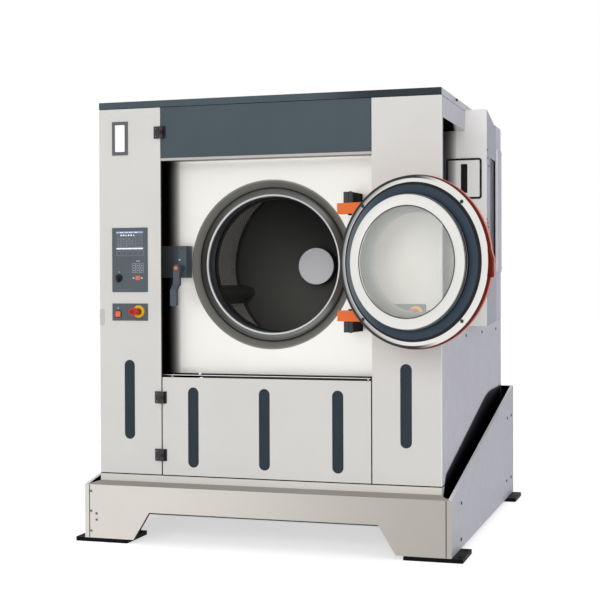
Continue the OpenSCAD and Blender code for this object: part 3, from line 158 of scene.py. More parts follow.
# every finish: a cloudy base colour, uneven roughness and a fine relief
def finish(name, look):
    mat = bpy.data.materials.new(name)
    mat.use_nodes = True
    tree = mat.node_tree
    shader = tree.nodes["Principled BSDF"]
    place = addNode(tree, "ShaderNodeTexCoord").outputs["Object"]
    colour = tone(*look["colour"])
    cloud = look["cloud"]
    soft = ranged(tree, noise(tree, place, look.get("cloudScale", 3.0), 3.0), 0.3, 0.7)
    shown = mixColour(tree, soft, scaled(colour, 1 - cloud), scaled(colour, 1 + cloud))
    if "speck" in look:  # fine light and dark grains
        grain = ranged(tree, noise(tree, place, look.get("speckScale", 1500), 1.0), 0.58, 0.72)
        shown = mixColour(tree, grain, shown, scaled(colour, look["speck"]))
    wear = ranged(tree, noise(tree, place, look.get("wearScale", 14), 4.0, look.get("stretch")),
                  0.3, 0.75)
    rough = look["rough"]
    vary = look.get("vary", 0.06)
    roughness = ranged(tree, wear, 0, 1, rough - vary, rough + vary, smooth=False)
    grainHeight = noise(tree, place, look.get("reliefScale", 500), 2.0, look.get("stretch"))
    bump = addNode(tree, "ShaderNodeBump", {"Strength": look["relief"], "Distance": 0.001})
    tree.links.new(grainHeight, bump.inputs["Height"])
    tree.links.new(shown, shader.inputs["Base Color"])
    tree.links.new(roughness, shader.inputs["Roughness"])
    tree.links.new(bump.outputs["Normal"], shader.inputs["Normal"])
    shader.inputs["Metallic"].default_value = look.get("metal", 0.0)
    shader.inputs["Specular IOR Level"].default_value = look["gloss"]
    shader.inputs["Coat Weight"].default_value = look.get("coat", 0.0)
    shader.inputs["Coat Roughness"].default_value = look.get("coatRough", 0.1)
    if "glow" in look:
        tree.links.new(shown, shader.inputs["Emission Color"])
        shader.inputs["Emission Strength"].default_value = look["glow"]
    return mat


def parts(mat):  # tree, shader, object coordinates and the colour on its way to the shader
    tree = mat.node_tree
    shader = tree.nodes["Principled BSDF"]
    place = next(n for n in tree.nodes if n.bl_idname == "ShaderNodeTexCoord").outputs["Object"]
    return tree, shader, place, shader.inputs["Base Color"].links[0].from_socket


def paint(tree, shader, colour):
    tree.links.new(colour, shader.inputs["Base Color"])


def facingOf(tree):  # which way a face looks, in the piece's own axes
    out = addNode(tree, "ShaderNodeSeparateXYZ")
    tree.links.new(addNode(tree, "ShaderNodeTexCoord").outputs["Normal"], out.inputs[0])
    return out.outputs


def spread(tree, place):
    out = addNode(tree, "ShaderNodeSeparateXYZ")
    tree.links.new(place, out.inputs[0])
    return out.outputs


def dull(tree, shader, mask):  # takes the gloss away where the mask is 1
    level = shader.inputs["Specular IOR Level"]
    tree.links.new(ranged(tree, mask, 0, 1, level.default_value, 0, smooth=False), level)


def surface(colour, rough=0.4, gloss=0.5, cloud=0.03, relief=0.08, **more):
    return {"colour": colour, "rough": rough, "gloss": gloss, "cloud": cloud, "relief": relief, **more}


looks = {
    "panelPaint": surface((223, 222, 218), 0.45, 0.3, 0.012, 0.03, reliefScale=420),
    # the sides: the panel paint made darker and cooler, as painted shade
    "shadedSidePaint": surface((206, 204, 213), 0.45, 0.3, 0.012, 0.02, reliefScale=420),
    "chassisPaint": surface((224, 221, 214), 0.45, 0.3, 0.012, 0.02, reliefScale=420),
    "lipPaint": surface((160, 156, 148), 0.48, 0.25, 0.02, 0.03, reliefScale=420),
    "basePaint": surface((232, 227, 219), 0.48, 0.25, 0.015, 0.03, reliefScale=420, cloudScale=1.2),
    "fasciaPaint": surface((79, 90, 97), 0.45, 0.12, 0.03, 0.05, reliefScale=500),
    "orangePaint": surface((243, 120, 56), 0.4, 0.3, 0.02, 0.02),
    "shellPaint": surface((192, 66, 36), 0.5, 0.08, 0.04, 0.02),
    "frontSteel": surface((246, 244, 238), 0.42, 0.5, 0.01, 0.02, metal=0.9, vary=0.03,
                          reliefScale=30, stretch=(1, 1, 60), wearScale=3),
    "ringSteel": surface((212, 212, 210), 0.34, 0.5, 0.02, 0.008, metal=1.0, vary=0.03,
                         reliefScale=200),
    "drumSteel": surface((232, 230, 225), 0.5, 0.3, 0.02, 0.006, metal=0.1, vary=0.02, reliefScale=120),
    "tubSteel": surface((120, 121, 121), 0.5, 0.5, 0.04, 0.01, metal=0.8, vary=0.05, reliefScale=120),
    "doorSteel": surface((232, 231, 227), 0.36, 0.5, 0.01, 0.01, metal=0.75, vary=0.03,
                         reliefScale=200),
    "framePaint": surface((108, 110, 114), 0.55, 0.3, 0.06, speck=0.8),
    "blackPaint": surface((27, 27, 30), 0.45, 0.3, 0.1, 0.1, speck=1.5),
    "bracketGrey": surface((68, 73, 74), 0.5, 0.2, 0.1, 0.1, speck=1.5),
    "bowlGrey": surface((62, 64, 62), 0.5, 0.2, 0.04, vary=0.05),
    "shutterPaint": surface((122, 126, 136), 0.5, 0.2, 0.05, vary=0.05),
    "leafGrey": surface((60, 58, 61), 0.45, 0.3, 0.1, 0.1, speck=1.5),
    "frameGrey": surface((99, 99, 103), 0.5, 0.3, 0.05, speck=1.2),
    "postPaint": surface((12, 11, 12), 0.6, 0.15, 0.1, 0.1, speck=1.5),
    "footPaint": surface((9, 9, 12), 0.6, 0.1, 0.12, 0.1, speck=1.4),
    "castIron": surface((92, 95, 98), 0.6, 0.5, 0.08, 0.4, speck=0.7, reliefScale=260),
    "groundSteel": surface((190, 190, 192), 0.3, 0.5, 0.04, 0.02, metal=1.0, vary=0.05),
    "motorPaint": surface((84, 100, 118), 0.4, 0.5, 0.06, 0.15, coat=0.2),
    "sealRubber": surface((53, 66, 78), 0.55, 0.2, 0.04, speck=1.2, reliefScale=700),
    "mouthRubber": surface((126, 124, 116), 0.55, 0.25, speck=1.1, reliefScale=700),
    "blackRubber": surface((20, 20, 22), 0.6, 0.25, 0.12, 0.2, speck=1.6, reliefScale=600),
    "slotPlastic": surface((44, 54, 62), 0.42, 0.2, 0.04, 0.06, reliefScale=900),
    "lockPlastic": surface((58, 68, 76), 0.5, 0.2, 0.04, 0.12, speck=0.85, reliefScale=900),
    "leverPlastic": surface((84, 90, 100), 0.45, 0.25, 0.04, 0.12, speck=0.88, reliefScale=900),
    "controlFoil": surface((92, 100, 106), 0.55, 0.2, 0.02, speck=1.08, reliefScale=1100),
    "screenGlass": surface((96, 102, 110), 0.25, 0.3, coat=0.2, glow=0.05),
    "yellowPlastic": surface((238, 186, 34), 0.4, 0.3, 0.03, 0.06),
    "redPlastic": surface((206, 60, 44), 0.38, 0.3, 0.03, 0.04),
    "orangePlastic": surface((240, 118, 84), 0.45, 0.3, 0.03, 0.06),
    "brassMetal": surface((212, 172, 92), 0.32, 0.5, 0.05, 0.02, metal=1.0, vary=0.05),
    "pipePlastic": surface((112, 115, 118), 0.45),
    "hubSteel": surface((248, 249, 255), 0.5, 0.3, 0.015, 0.01, vary=0.02),
    "screwSteel": surface((176, 178, 182), 0.3, 0.5, 0.08, metal=1.0, vary=0.1, cloudScale=90),
    "paleScrew": surface((128, 127, 125), 0.45, 0.5, 0.1, metal=0.5, vary=0.1, cloudScale=90),
    "darkScrew": surface((58, 60, 66), 0.45, 0.5, 0.1, metal=0.5, vary=0.1, cloudScale=90),
    "lampWhite": surface((226, 236, 250), 0.4, 0.5, 0.02, glow=0.35),
    "barBlue": surface((150, 170, 205), 0.4, glow=0.15),
    "printLight": surface((196, 200, 204), 0.5, 0.5, 0.02),
    "printGrey": surface((138, 142, 148), 0.5, 0.5, 0.02),
    # white that glows a little though it is no lamp: painted light
    "paintedLightWhite": surface((255, 255, 255), 0.5, 0.5, 0.01, glow=0.12, speck=0.97),
    "tabGrey": surface((200, 199, 194), 0.45, 0.5, 0.02, speck=0.95),
}
finishes = {name: finish(name, look) for name, look in looks.items()}
print("finishes made:", len(finishes))


# painted shade on the cabinet sides: a black band along the base's side plates, greyer towards its
# edge; faces turned inward are painted black as shade
sideShade = {
    "edge": (80, 78, 86), "deep": (9, 8, 12), "inner": (14, 14, 16),
    "frontY": -1.007, "frontZ": 0.288, "rearY": 1.037, "rearZ": 0.666,  # line of the base's side plates
    "edgeY": -0.658, "edgeZ": 0.437, "rise": 0.2365,                    # the band's own upper edge
    "topZ": 0.688, "noseY": -0.90, "noseZ": 0.31, "noseRise": 1.6, "corner": 0.05, "sharp": 0.014,
    "fades": 0.95, "curve": 2.2, "chassisTop": 0.3366, "seam": 0.003,
    "skin": (0.8735, 0.8745), "patches": 0.004,
}


def addSideShade(mat, u):
    tree, shader, place, shown = parts(mat)
    xyz = spread(tree, place)
    y, z = xyz["Y"], xyz["Z"]

    def slope(rise, atY, atZ):
        return mathNode(tree, "MULTIPLY_ADD", y, rise, atZ - rise * atY)

    plate = slope((u["rearZ"] - u["frontZ"]) / (u["rearY"] - u["frontY"]), u["frontY"], u["frontZ"])
    edge = mathNode(tree, "SMOOTH_MIN", slope(u["rise"], u["edgeY"], u["edgeZ"]), u["topZ"],
                    u["corner"])
    edge = mathNode(tree, "SMOOTH_MIN", edge, slope(u["noseRise"], u["noseY"], u["noseZ"]), u["corner"])
    patchy = times(tree, mathNode(tree, "SUBTRACT", noise(tree, place, 30, 3), 0.5), u["patches"])
    below = mathNode(tree, "ADD", mathNode(tree, "SUBTRACT", edge, z), patchy)
    band = ranged(tree, below, 0, u["sharp"])
    depth = mathNode(tree, "DIVIDE", below, mathNode(tree, "SUBTRACT", edge, plate))
    grey = mathNode(tree, "POWER", ranged(tree, depth, 0, u["fades"], 1, 0, smooth=False), u["curve"])
    # colour of the painted shade: black deep down, greyer towards the band's edge
    coat = mixColour(tree, grey, u["deep"], u["edge"])
    width = mathNode(tree, "ABSOLUTE", xyz["X"])
    mask = times(tree, band, ranged(tree, width, *u["skin"]))
    # painted shade in the seam over the chassis
    top = times(tree, mathNode(tree, "GREATER_THAN", z, u["chassisTop"]),
                   mathNode(tree, "LESS_THAN", z, u["chassisTop"] + u["seam"]))
    inward = times(tree, facingOf(tree)["X"], mathNode(tree, "SIGN", xyz["X"]))
    inner = ranged(tree, inward, -0.5, -0.8)
    shown = mixColour(tree, mask, shown, coat)
    dark = mathNode(tree, "MAXIMUM", inner, top)
    paint(tree, shader, mixColour(tree, dark, shown, u["inner"]))
    dull(tree, shader, mathNode(tree, "MAXIMUM", dark, mask))


addSideShade(finishes["shadedSidePaint"], sideShade)
addSideShade(finishes["chassisPaint"], sideShade)


# painted shade: returns of the columns and swinging panels are black where they face each other,
# browner at the front; the columns' outer sides darker and cooler; the niche ceiling black up to a
# slanted edge
returnShade = {"colour": (7, 6, 6), "brink": (92, 84, 78), "brinkY": (-0.942, -0.92),
               "near": 0.5343, "far": 0.5425, "low": 0.3, "high": 2.18,
               "side": (206, 204, 214), "sideX": 0.8722, "ceiling": (18, 16, 18), "ceilingZ": 2.0725,
               "ceilingEnd": (0.766, 0.786)}


def addReturnShade(mat, d):
    tree, shader, place, shown = parts(mat)
    xyz, facing = spread(tree, place), facingOf(tree)
    side = mathNode(tree, "ABSOLUTE", xyz["X"])
    sideways = ranged(tree, mathNode(tree, "ABSOLUTE", facing["X"]), 0.5, 0.9)
    mask = times(tree, ranged(tree, side, d["near"], d["near"] + 0.0004),
                    ranged(tree, side, d["far"], d["far"] + 0.0004, 1, 0))
    mask = times(tree, mask, ranged(tree, xyz["Z"], d["low"], d["low"] + 0.001))
    mask = times(tree, mask, ranged(tree, xyz["Z"], d["high"], d["high"] + 0.001, 1, 0))
    mask = times(tree, mask, sideways)
    # the columns' outer sides painted darker and cooler as shade
    outer = times(tree, sideways, ranged(tree, side, d["sideX"], d["sideX"] + 0.0005))
    shown = mixColour(tree, outer, shown, d["side"])
    # the niche ceiling painted black as shade
    ceiling = times(tree, ranged(tree, facing["Z"], -0.8, -0.95),
                       ranged(tree, xyz["Z"], d["ceilingZ"] - 0.004, d["ceilingZ"] - 0.003))
    ceiling = times(tree, ceiling, ranged(tree, xyz["Z"], d["ceilingZ"] + 0.006, d["ceilingZ"] + 0.007,
                                                         1, 0))
    slant = mathNode(tree, "MULTIPLY_ADD", xyz["Y"], 0.165, xyz["X"])
    ceiling = times(tree, ceiling, ranged(tree, slant, *d["ceilingEnd"], 1, 0))
    shown = mixColour(tree, ceiling, shown, d["ceiling"])
    # the returns painted black as shade, browner towards the front
    deep = mixColour(tree, ranged(tree, xyz["Y"], *d["brinkY"]), d["brink"], d["colour"])
    paint(tree, shader, mixColour(tree, mask, shown, deep))
    dull(tree, shader, mathNode(tree, "MAXIMUM", mask, ceiling))


addReturnShade(finishes["panelPaint"], returnShade)


# stainless front: painted deep shade in the corner beside the left column; the lip along the top less
# metallic, with painted shade on the faces beneath it
recessCorner = {"colour": (9, 8, 8), "from": -0.556, "to": -0.482, "curve": 2.0, "lip": (190, 186, 180),
                "seam": (34, 30, 27), "lipZ": 1.9055, "frontY": -0.9385, "seamY": -0.866}
lockCorner = {"colour": (4, 4, 6), "from": -0.536, "to": -0.452, "curve": 2.4}


def cornerShade(tree, place, shown, c):
    x = spread(tree, place)["X"]
    lit = mathNode(tree, "POWER", ranged(tree, x, c["from"], c["to"], smooth=False), c["curve"])
    return mixColour(tree, lit, c["colour"], shown)


def addRecessCorner(mat, r):
    tree, shader, place, shown = parts(mat)
    xyz = spread(tree, place)
    high = mathNode(tree, "GREATER_THAN", xyz["Z"], r["lipZ"])
    lip = times(tree, high, mathNode(tree, "LESS_THAN", xyz["Y"], r["frontY"]))
    shown = mixColour(tree, lip, cornerShade(tree, place, shown, r), r["lip"])
    # painted shade on the faces looking down under the lip
    seam = times(tree, high, ranged(tree, facingOf(tree)["Z"], -0.8, -0.9))
    seam = times(tree, seam, ranged(tree, xyz["Y"], r["seamY"], r["seamY"] + 0.004, 1, 0))
    paint(tree, shader, mixColour(tree, seam, shown, r["seam"]))
    metal = shader.inputs["Metallic"]
    tree.links.new(ranged(tree, mathNode(tree, "MAXIMUM", lip, seam), 0, 1, metal.default_value,
                          0.2), metal)


addRecessCorner(finishes["frontSteel"], recessCorner)
finishes["lockBody"] = finish("lockBody", {**looks["lockPlastic"], "colour": (82, 93, 99)})
# the lock's left part painted dark as shade in the corner
tree, shader, place, shown = parts(finishes["lockBody"])
paint(tree, shader, cornerShade(tree, place, shown, lockCorner))


# cover trim: darker over the right column
trimZone = {"colour": (50, 58, 61), "from": 0.2, "to": 0.55}


def addTrimZone(mat, t):
    tree, shader, place, shown = parts(mat)
    right = ranged(tree, spread(tree, place)["X"], t["from"], t["to"])
    paint(tree, shader, mixColour(tree, right, shown, t["colour"]))


finishes["trimPaint"] = finish("trimPaint", looks["fasciaPaint"])
addTrimZone(finishes["trimPaint"], trimZone)


# base plates: painted shade black inside, on the cooler sides, on the darker rear fold and towards the
# right end; painted light on the paler lips looking up along the slopes
baseZones = {"inside": (14, 14, 17), "side": (202, 202, 209), "lip": (243, 242, 244),
             "right": (188, 184, 175),
             "fold": (176, 175, 184), "foldY": 1.006, "across": (-0.6, 0.95)}


def addBaseZones(mat, b):
    tree, shader, place, shown = parts(mat)
    xyz, facing = spread(tree, place), facingOf(tree)
    # painted shade, darker towards the right end
    shown = mixColour(tree, ranged(tree, xyz["X"], *b["across"]), shown, b["right"])
    # the sides painted darker and cooler as shade
    sideways = ranged(tree, mathNode(tree, "ABSOLUTE", facing["X"]), 0.8, 0.9)
    shown = mixColour(tree, sideways, shown, b["side"])
    # painted light on the faces looking up
    shown = mixColour(tree, ranged(tree, facing["Z"], 0.7, 0.9), shown, b["lip"])
    # the rear fold painted darker as shade
    fold = times(tree, sideways, ranged(tree, xyz["Y"], b["foldY"], b["foldY"] + 0.001))
    shown = mixColour(tree, fold, shown, b["fold"])
    outX = times(tree, facing["X"], mathNode(tree, "SIGN", xyz["X"]))
    outY = times(tree, facing["Y"], mathNode(tree, "SIGN", xyz["Y"]))
    # inner faces painted black as shade
    inside = ranged(tree, mathNode(tree, "MINIMUM", outX, outY), -0.8, -0.86)
    paint(tree, shader, mixColour(tree, inside, shown, b["inside"]))
    dull(tree, shader, inside)


addBaseZones(finishes["basePaint"], baseZones)


# tower: painted shade on the front beside the cabinet and on the bluish sides, whose rear part is
# lighter; black hinge of the hatch
towerZones = {"side": (168, 171, 184), "rear": (198, 196, 214), "sideX": 0.98, "rearY": 0.002,
              "hinge": (20, 20, 23), "hingeX": 0.9513, "hingeY": (-0.33, -0.3093),
              "shade": (66, 63, 62), "shadeFrom": 0.765, "shadeTo": 0.834, "shadeCurve": 2.6,
              "frontY": -0.25}


def addTowerZones(mat, t):
    tree, shader, place, shown = parts(mat)
    xyz, facing = spread(tree, place), facingOf(tree)
    # painted shade on the front, darkest beside the cabinet
    lit = mathNode(tree, "POWER",
                   ranged(tree, xyz["X"], t["shadeFrom"], t["shadeTo"], smooth=False), t["shadeCurve"])
    front = mathNode(tree, "LESS_THAN", xyz["Y"], t["frontY"])
    shade = times(tree, mathNode(tree, "SUBTRACT", 1.0, lit), front)
    shown = mixColour(tree, shade, shown, t["shade"])
    # the sides painted darker and bluish as shade
    side = times(tree, ranged(tree, xyz["X"], t["sideX"], t["sideX"] + 0.001),
                    ranged(tree, facing["X"], 0.7, 0.9))
    rear = mixColour(tree, ranged(tree, xyz["Y"], t["rearY"] - 0.004, t["rearY"]), t["side"], t["rear"])
    shown = mixColour(tree, side, shown, rear)
    hinge = times(tree, mathNode(tree, "GREATER_THAN", xyz["X"], t["hingeX"]),
                     mathNode(tree, "LESS_THAN", xyz["Y"], t["hingeY"][1]))
    hinge = times(tree, hinge, mathNode(tree, "GREATER_THAN", xyz["Y"], t["hingeY"][0]))
    paint(tree, shader, mixColour(tree, hinge, shown, t["hinge"]))


# the tower wears the panel paint made brighter: painted light
finishes["litTowerPaint"] = finish("litTowerPaint", {**looks["panelPaint"], "colour": (252, 251, 248)})
addTowerZones(finishes["litTowerPaint"], towerZones)


# round holes of the drum wall, laid out along the wall and round it
perforation = {"radius": 0.485, "pitchAround": 0.0183, "pitchAlong": 0.0183, "hole": 0.0038,
               "axisZ": 1.388,
               "front": -0.66, "back": 0.01, "colour": (12, 12, 14)}


def addPerforation(mat, p):
    tree, shader, place, shown = parts(mat)
    xyz = spread(tree, place)
    up = mathNode(tree, "SUBTRACT", xyz["Z"], p["axisZ"])
    angle = mathNode(tree, "ARCTAN2", up, xyz["X"])
    around = times(tree, angle, p["radius"] / p["pitchAround"])
    along = mathNode(tree, "DIVIDE", xyz["Y"], p["pitchAlong"])
    row = mathNode(tree, "MODULO", mathNode(tree, "FLOOR", along), 2)
    stepped = mathNode(tree, "ADD", around, times(tree, row, 0.5))
    u = times(tree, mathNode(tree, "SUBTRACT", mathNode(tree, "FRACT", stepped), 0.5),
                 p["pitchAround"])
    v = times(tree, mathNode(tree, "SUBTRACT", mathNode(tree, "FRACT", along), 0.5),
                 p["pitchAlong"])
    reach = mathNode(tree, "SQRT", mathNode(tree, "ADD", times(tree, u, u),
                                            times(tree, v, v)))
    hole = ranged(tree, reach, p["hole"] * 0.85, p["hole"], 1, 0)
    outside = mathNode(tree, "SQRT", mathNode(tree, "ADD", times(tree, up, up),
                                              times(tree, xyz["X"], xyz["X"])))
    wall = ranged(tree, outside, p["radius"] - 0.004, p["radius"] - 0.002)
    inner = times(tree, ranged(tree, xyz["Y"], p["front"], p["front"] + 0.001),
                     ranged(tree, xyz["Y"], p["back"] - 0.001, p["back"], 1, 0))
    mask = times(tree, hole, wall, inner)
    paint(tree, shader, mixColour(tree, mask, shown, p["colour"]))


addPerforation(finishes["drumSteel"], perforation)


def radiusFrom(tree, place, axisZ):  # distance from the drum axis
    xyz = spread(tree, place)
    up = mathNode(tree, "SUBTRACT", xyz["Z"], axisZ)
    square = mathNode(tree, "ADD", times(tree, up, up),
                      times(tree, xyz["X"], xyz["X"]))
    return mathNode(tree, "SQRT", square), xyz["Y"]


# painted shade in the drum: the back plate lighter low at the left and dark towards the upper right,
# the lifters and the front rim darker than the wall
backPlate = {"axisZ": 1.388, "y": -0.012, "light": (96, 96, 93), "dark": (18, 17, 20),
             "across": (-0.8, -0.6),
             "spread": 0.3, "rimY": -0.685, "rim": (44, 44, 42), "rib": (84, 84, 81),
             "ribRadius": 0.476}


def addBackPlate(mat, b):
    tree, shader, place, shown = parts(mat)
    radius, y = radiusFrom(tree, place, b["axisZ"])
    xyz = spread(tree, place)
    slant = times(tree, xyz["X"], b["across"][0])
    slant = mathNode(tree, "ADD", slant, mathNode(tree, "MULTIPLY",
                                                  mathNode(tree, "SUBTRACT", xyz["Z"], b["axisZ"]),
                                                  b["across"][1]))
    # painted shade across the back plate
    plate = mixColour(tree, ranged(tree, slant, -b["spread"], b["spread"]), b["dark"], b["light"])
    shown = mixColour(tree, ranged(tree, radius, b["ribRadius"], b["ribRadius"] + 0.004, 1, 0), shown,
                      b["rib"])
    shown = mixColour(tree, ranged(tree, y, b["rimY"], b["rimY"] + 0.002, 1, 0), shown, b["rim"])
    paint(tree, shader, mixColour(tree, ranged(tree, y, b["y"], b["y"] + 0.002), shown, plate))


addBackPlate(finishes["drumSteel"], backPlate)


# mouth ring: satin cone with a painted sheen, darker at its sides; bright nose; dark throat painted as
# shade
mouthZones = {"axisZ": 1.388, "cone": (150, 151, 147), "coneSide": (98, 98, 95),
              "noseRadius": 0.3465, "noseBack": -0.799,
              "throatRadius": 0.3392, "throat": (62, 63, 60)}


def addMouthZones(mat, m):
    tree, shader, place, shown = parts(mat)
    radius, y = radiusFrom(tree, place, m["axisZ"])
    cone = ranged(tree, radius, m["noseRadius"], m["noseRadius"] + 0.0006)
    # the throat painted dark as shade
    throat = mathNode(tree, "MAXIMUM",
                      ranged(tree, radius, m["throatRadius"] - 0.0005, m["throatRadius"], 1, 0),
                      0.0)
    behind = ranged(tree, y, m["noseBack"], m["noseBack"] + 0.001)
    dark = times(tree, throat, behind)
    # painted sheen, darker towards the sides of the cone
    across = mathNode(tree, "DIVIDE", spread(tree, place)["X"], radius)
    paintedSheen = mixColour(tree, mathNode(tree, "POWER", mathNode(tree, "ABSOLUTE", across), 2.0), m["cone"],
                      m["coneSide"])
    colour = mixColour(tree, cone, shown, paintedSheen)
    paint(tree, shader, mixColour(tree, dark, colour, m["throat"]))
    metal = mathNode(tree, "SUBTRACT", 1.0, mathNode(tree, "MAXIMUM", times(tree, cone, 0.4), dark))
    tree.links.new(metal, shader.inputs["Metallic"])


addMouthZones(finishes["ringSteel"], mouthZones)


# tinted door glass
def makeGlass(name, colour):
    mat = bpy.data.materials.new(name)
    mat.use_nodes = True
    tree = mat.node_tree
    shader = tree.nodes["Principled BSDF"]
    place = addNode(tree, "ShaderNodeTexCoord").outputs["Object"]
    smear = ranged(tree, noise(tree, place, 5, 4), 0.35, 0.75, 0.01, 0.05)
    tree.links.new(smear, shader.inputs["Roughness"])
    haze = mixColour(tree, ranged(tree, noise(tree, place, 3, 2), 0.3, 0.7),
                     tone(*colour), scaled(tone(*colour), 0.97))
    tree.links.new(haze, shader.inputs["Base Color"])
    shader.inputs["Transmission Weight"].default_value = 0.83  # the rest is a pale veil
    shader.inputs["IOR"].default_value = 1.46
    clear = addNode(tree, "ShaderNodeBsdfTransparent", {"Color": (0.94, 0.96, 0.94, 1)})
    mix = addNode(tree, "ShaderNodeMixShader")  # lamps shine through the glass
    tree.links.new(addNode(tree, "ShaderNodeLightPath").outputs["Is Shadow Ray"], mix.inputs[0])
    tree.links.new(shader.outputs[0], mix.inputs[1])
    tree.links.new(clear.outputs[0], mix.inputs[2])
    tree.links.new(mix.outputs[0], tree.nodes["Material Output"].inputs["Surface"])
    return mat


finishes["doorGlass"] = makeGlass("doorGlass", (247, 249, 246))


# what each carried-over node wears
wears = {
    "panelPaint": ["column_left", "column_right", "top_cover", "rear_panels", "lower_panel",
                   "niche_panels"],
    "litTowerPaint": ["tower_cabinet", "tower_hatch"],
    "shadedSidePaint": ["side_panels_left", "side_panels_right"],
    "chassisPaint": ["chassis_frame"],
    "basePaint": ["base_front_plate", "base_rear_plate", "base_side_plates"],
    "fasciaPaint": ["fascia_panel"],
    "trimPaint": ["cover_trim"],
    "orangePaint": ["door_arms"],
    "shellPaint": ["door_shell"],
    "frontSteel": ["stainless_front"],
    "ringSteel": ["mouth_ring"],
    "drumSteel": ["wash_drum"],
    "tubSteel": ["outer_tub"],
    "doorSteel": ["door_frame"],
    "framePaint": ["base_beams", "tub_cradle"],
    # the cabinet frame is black so the cavity behind the panel reveals shows painted shade
    "postPaint": ["cabinet_frame", "door_brackets"],
    "blackPaint": ["fascia_hinge", "lower_hinges", "key_switch"],
    "footPaint": ["foot_plates"],
    "castIron": ["bearing_housing", "drive_pulley"],
    "groundSteel": ["drum_shaft", "main_bearings", "motor_pulley"],
    "motorPaint": ["drive_motor"],
    "sealRubber": ["door_seal"],
    "mouthRubber": ["mouth_seal"],
    "blackRubber": ["air_bellows", "drive_belt", "hatch_gasket"],
    "slotPlastic": ["slot_windows", "lower_windows"],
    "frameGrey": ["name_window"],
    "leafGrey": ["panel_hinge_leaves"],
    "lockBody": ["door_lock"],
    "leverPlastic": ["lock_lever"],
    "controlFoil": ["control_plates"],
    "screenGlass": ["control_display"],
    "yellowPlastic": ["stop_collars"],
    "redPlastic": ["stop_button_left", "stop_button_right"],
    "orangePlastic": ["lock_button", "start_button_left", "start_button_right"],
    "brassMetal": ["water_inlets"],
    "pipePlastic": ["drain_valve"],
    "doorGlass": ["door_glass"],
}
dressed = set()
for finishName, nodeNames in wears.items():
    for nodeName in nodeNames:
        mesh = nodes[nodeName].data
        mesh.materials.clear()
        mesh.materials.append(finishes[finishName])
        for face in mesh.polygons:
            face.use_smooth = True
        mesh.set_sharp_from_angle(angle=math.radians(32))
        dressed.add(nodeName)
print("nodes dressed:", len(dressed), "left:", sorted(set(nodes) - dressed))


# meshes are drawn in millimetres on a plane: its directions across and up
facings = {
    "front": ((1, 0, 0), (0, 0, 1)),
    "rear": ((-1, 0, 0), (0, 0, 1)),
    "right": ((0, 1, 0), (0, 0, 1)),
    "left": ((0, -1, 0), (0, 0, 1)),
    "top": ((1, 0, 0), (0, 1, 0)),
}


def spot(facing, x, y, z, turn=0):
    across, up = (Vector(v) for v in facings[facing])
    out = across.cross(up)
    base = Matrix((across, up, out)).transposed().to_4x4()
    return (Matrix.Translation(Vector((x, y, z)) * mm) @ base
            @ Matrix.Rotation(math.radians(turn), 4, "Z") @ Matrix.Scale(mm, 4))


hinge = {"x": 437, "y": -974, "open": 160.2}
doorTurn = (Matrix.Translation(Vector((hinge["x"], hinge["y"], 0)) * mm)
            @ Matrix.Rotation(math.radians(hinge["open"]), 4, "Z")
            @ Matrix.Translation(Vector((-hinge["x"], -hinge["y"], 0)) * mm))


def onDoor(facing, x, y, z, turn=0):  # places on the closed door, carried round to its open rest
    return doorTurn @ spot(facing, x, y, z, turn)


def ring(bm, place, points):
    return [bm.verts.new(place @ Vector(p)) for p in points]


def bridge(bm, a, b):
    n = len(a)
    for i in range(n):
        j = (i + 1) % n
        if len(b) == 1:
            bm.faces.new((a[i], a[j], b[0]))
        elif len(a) == 1:
            bm.faces.new((a[0], b[j], b[i]))
        else:
            bm.faces.new((a[i], a[j], b[j], b[i]))


def turned(bm, place, profile, steps=32, shut=False):
    rings = []
    for r, h in profile:
        if r < 1e-6:
            rings.append([bm.verts.new(place @ Vector((0, 0, h)))])
        else:
            rings.append(ring(bm, place, [(r * math.cos(2 * math.pi * k / steps),
                                           r * math.sin(2 * math.pi * k / steps),
                                           h) for k in range(steps)]))
    for a, b in zip(rings, rings[1:]):
        if len(a) == 1:
            for i in range(len(b)):
                bm.faces.new((a[0], b[i], b[(i + 1) % len(b)]))
        else:
            bridge(bm, a, b)
    if shut:
        bridge(bm, rings[-1], rings[0])


def skin(bm, loops):  # joins a stack of loops and closes both ends
    bm.faces.new(loops[0][::-1])
    for a, b in zip(loops, loops[1:]):
        bridge(bm, a, b)
    bm.faces.new(loops[-1])


def prism(bm, outline, low, high):  # upright, its outline in x and y
    place = Matrix.Scale(mm, 4)
    skin(bm, [ring(bm, place, [(x, y, z) for x, y in outline]) for z in (low, high)])


def inset(outline, d):
    n = len(outline)
    result = []
    for i in range(n):
        p, q, r = (Vector(outline[k % n]) for k in (i - 1, i, i + 1))
        a = (q - p).normalized()
        b = (r - q).normalized()
        na, nb = Vector((-a.y, a.x)), Vector((-b.y, b.x))
        mid = na + nb
        mid = mid / max(mid.length_squared / 2, 0.3)
        result.append(tuple(q + mid * d))
    return result


def slab(bm, place, outline, low, high, chamfer=0.0):  # outline runs anticlockwise
    bottom = ring(bm, place, [(x, y, low) for x, y in outline])
    side = ring(bm, place, [(x, y, high - chamfer) for x, y in outline])
    bridge(bm, bottom, side)
    bm.faces.new(bottom[::-1])
    if chamfer:
        top = ring(bm, place, [(x, y, high) for x, y in inset(outline, chamfer)])
        bridge(bm, side, top)
        bm.faces.new(top)
    else:
        bm.faces.new(side)


def roundRect(w, h, r, steps=5, cx=0.0, cy=0.0):
    points = []
    for sx, sy, start in ((1, -1, -90), (1, 1, 0), (-1, 1, 90), (-1, -1, 180)):
        for k in range(steps + 1):
            a = math.radians(start + 90 * k / steps)
            points.append((cx + sx * (w / 2 - r) + r * math.cos(a),
                           cy + sy * (h / 2 - r) + r * math.sin(a)))
    return points


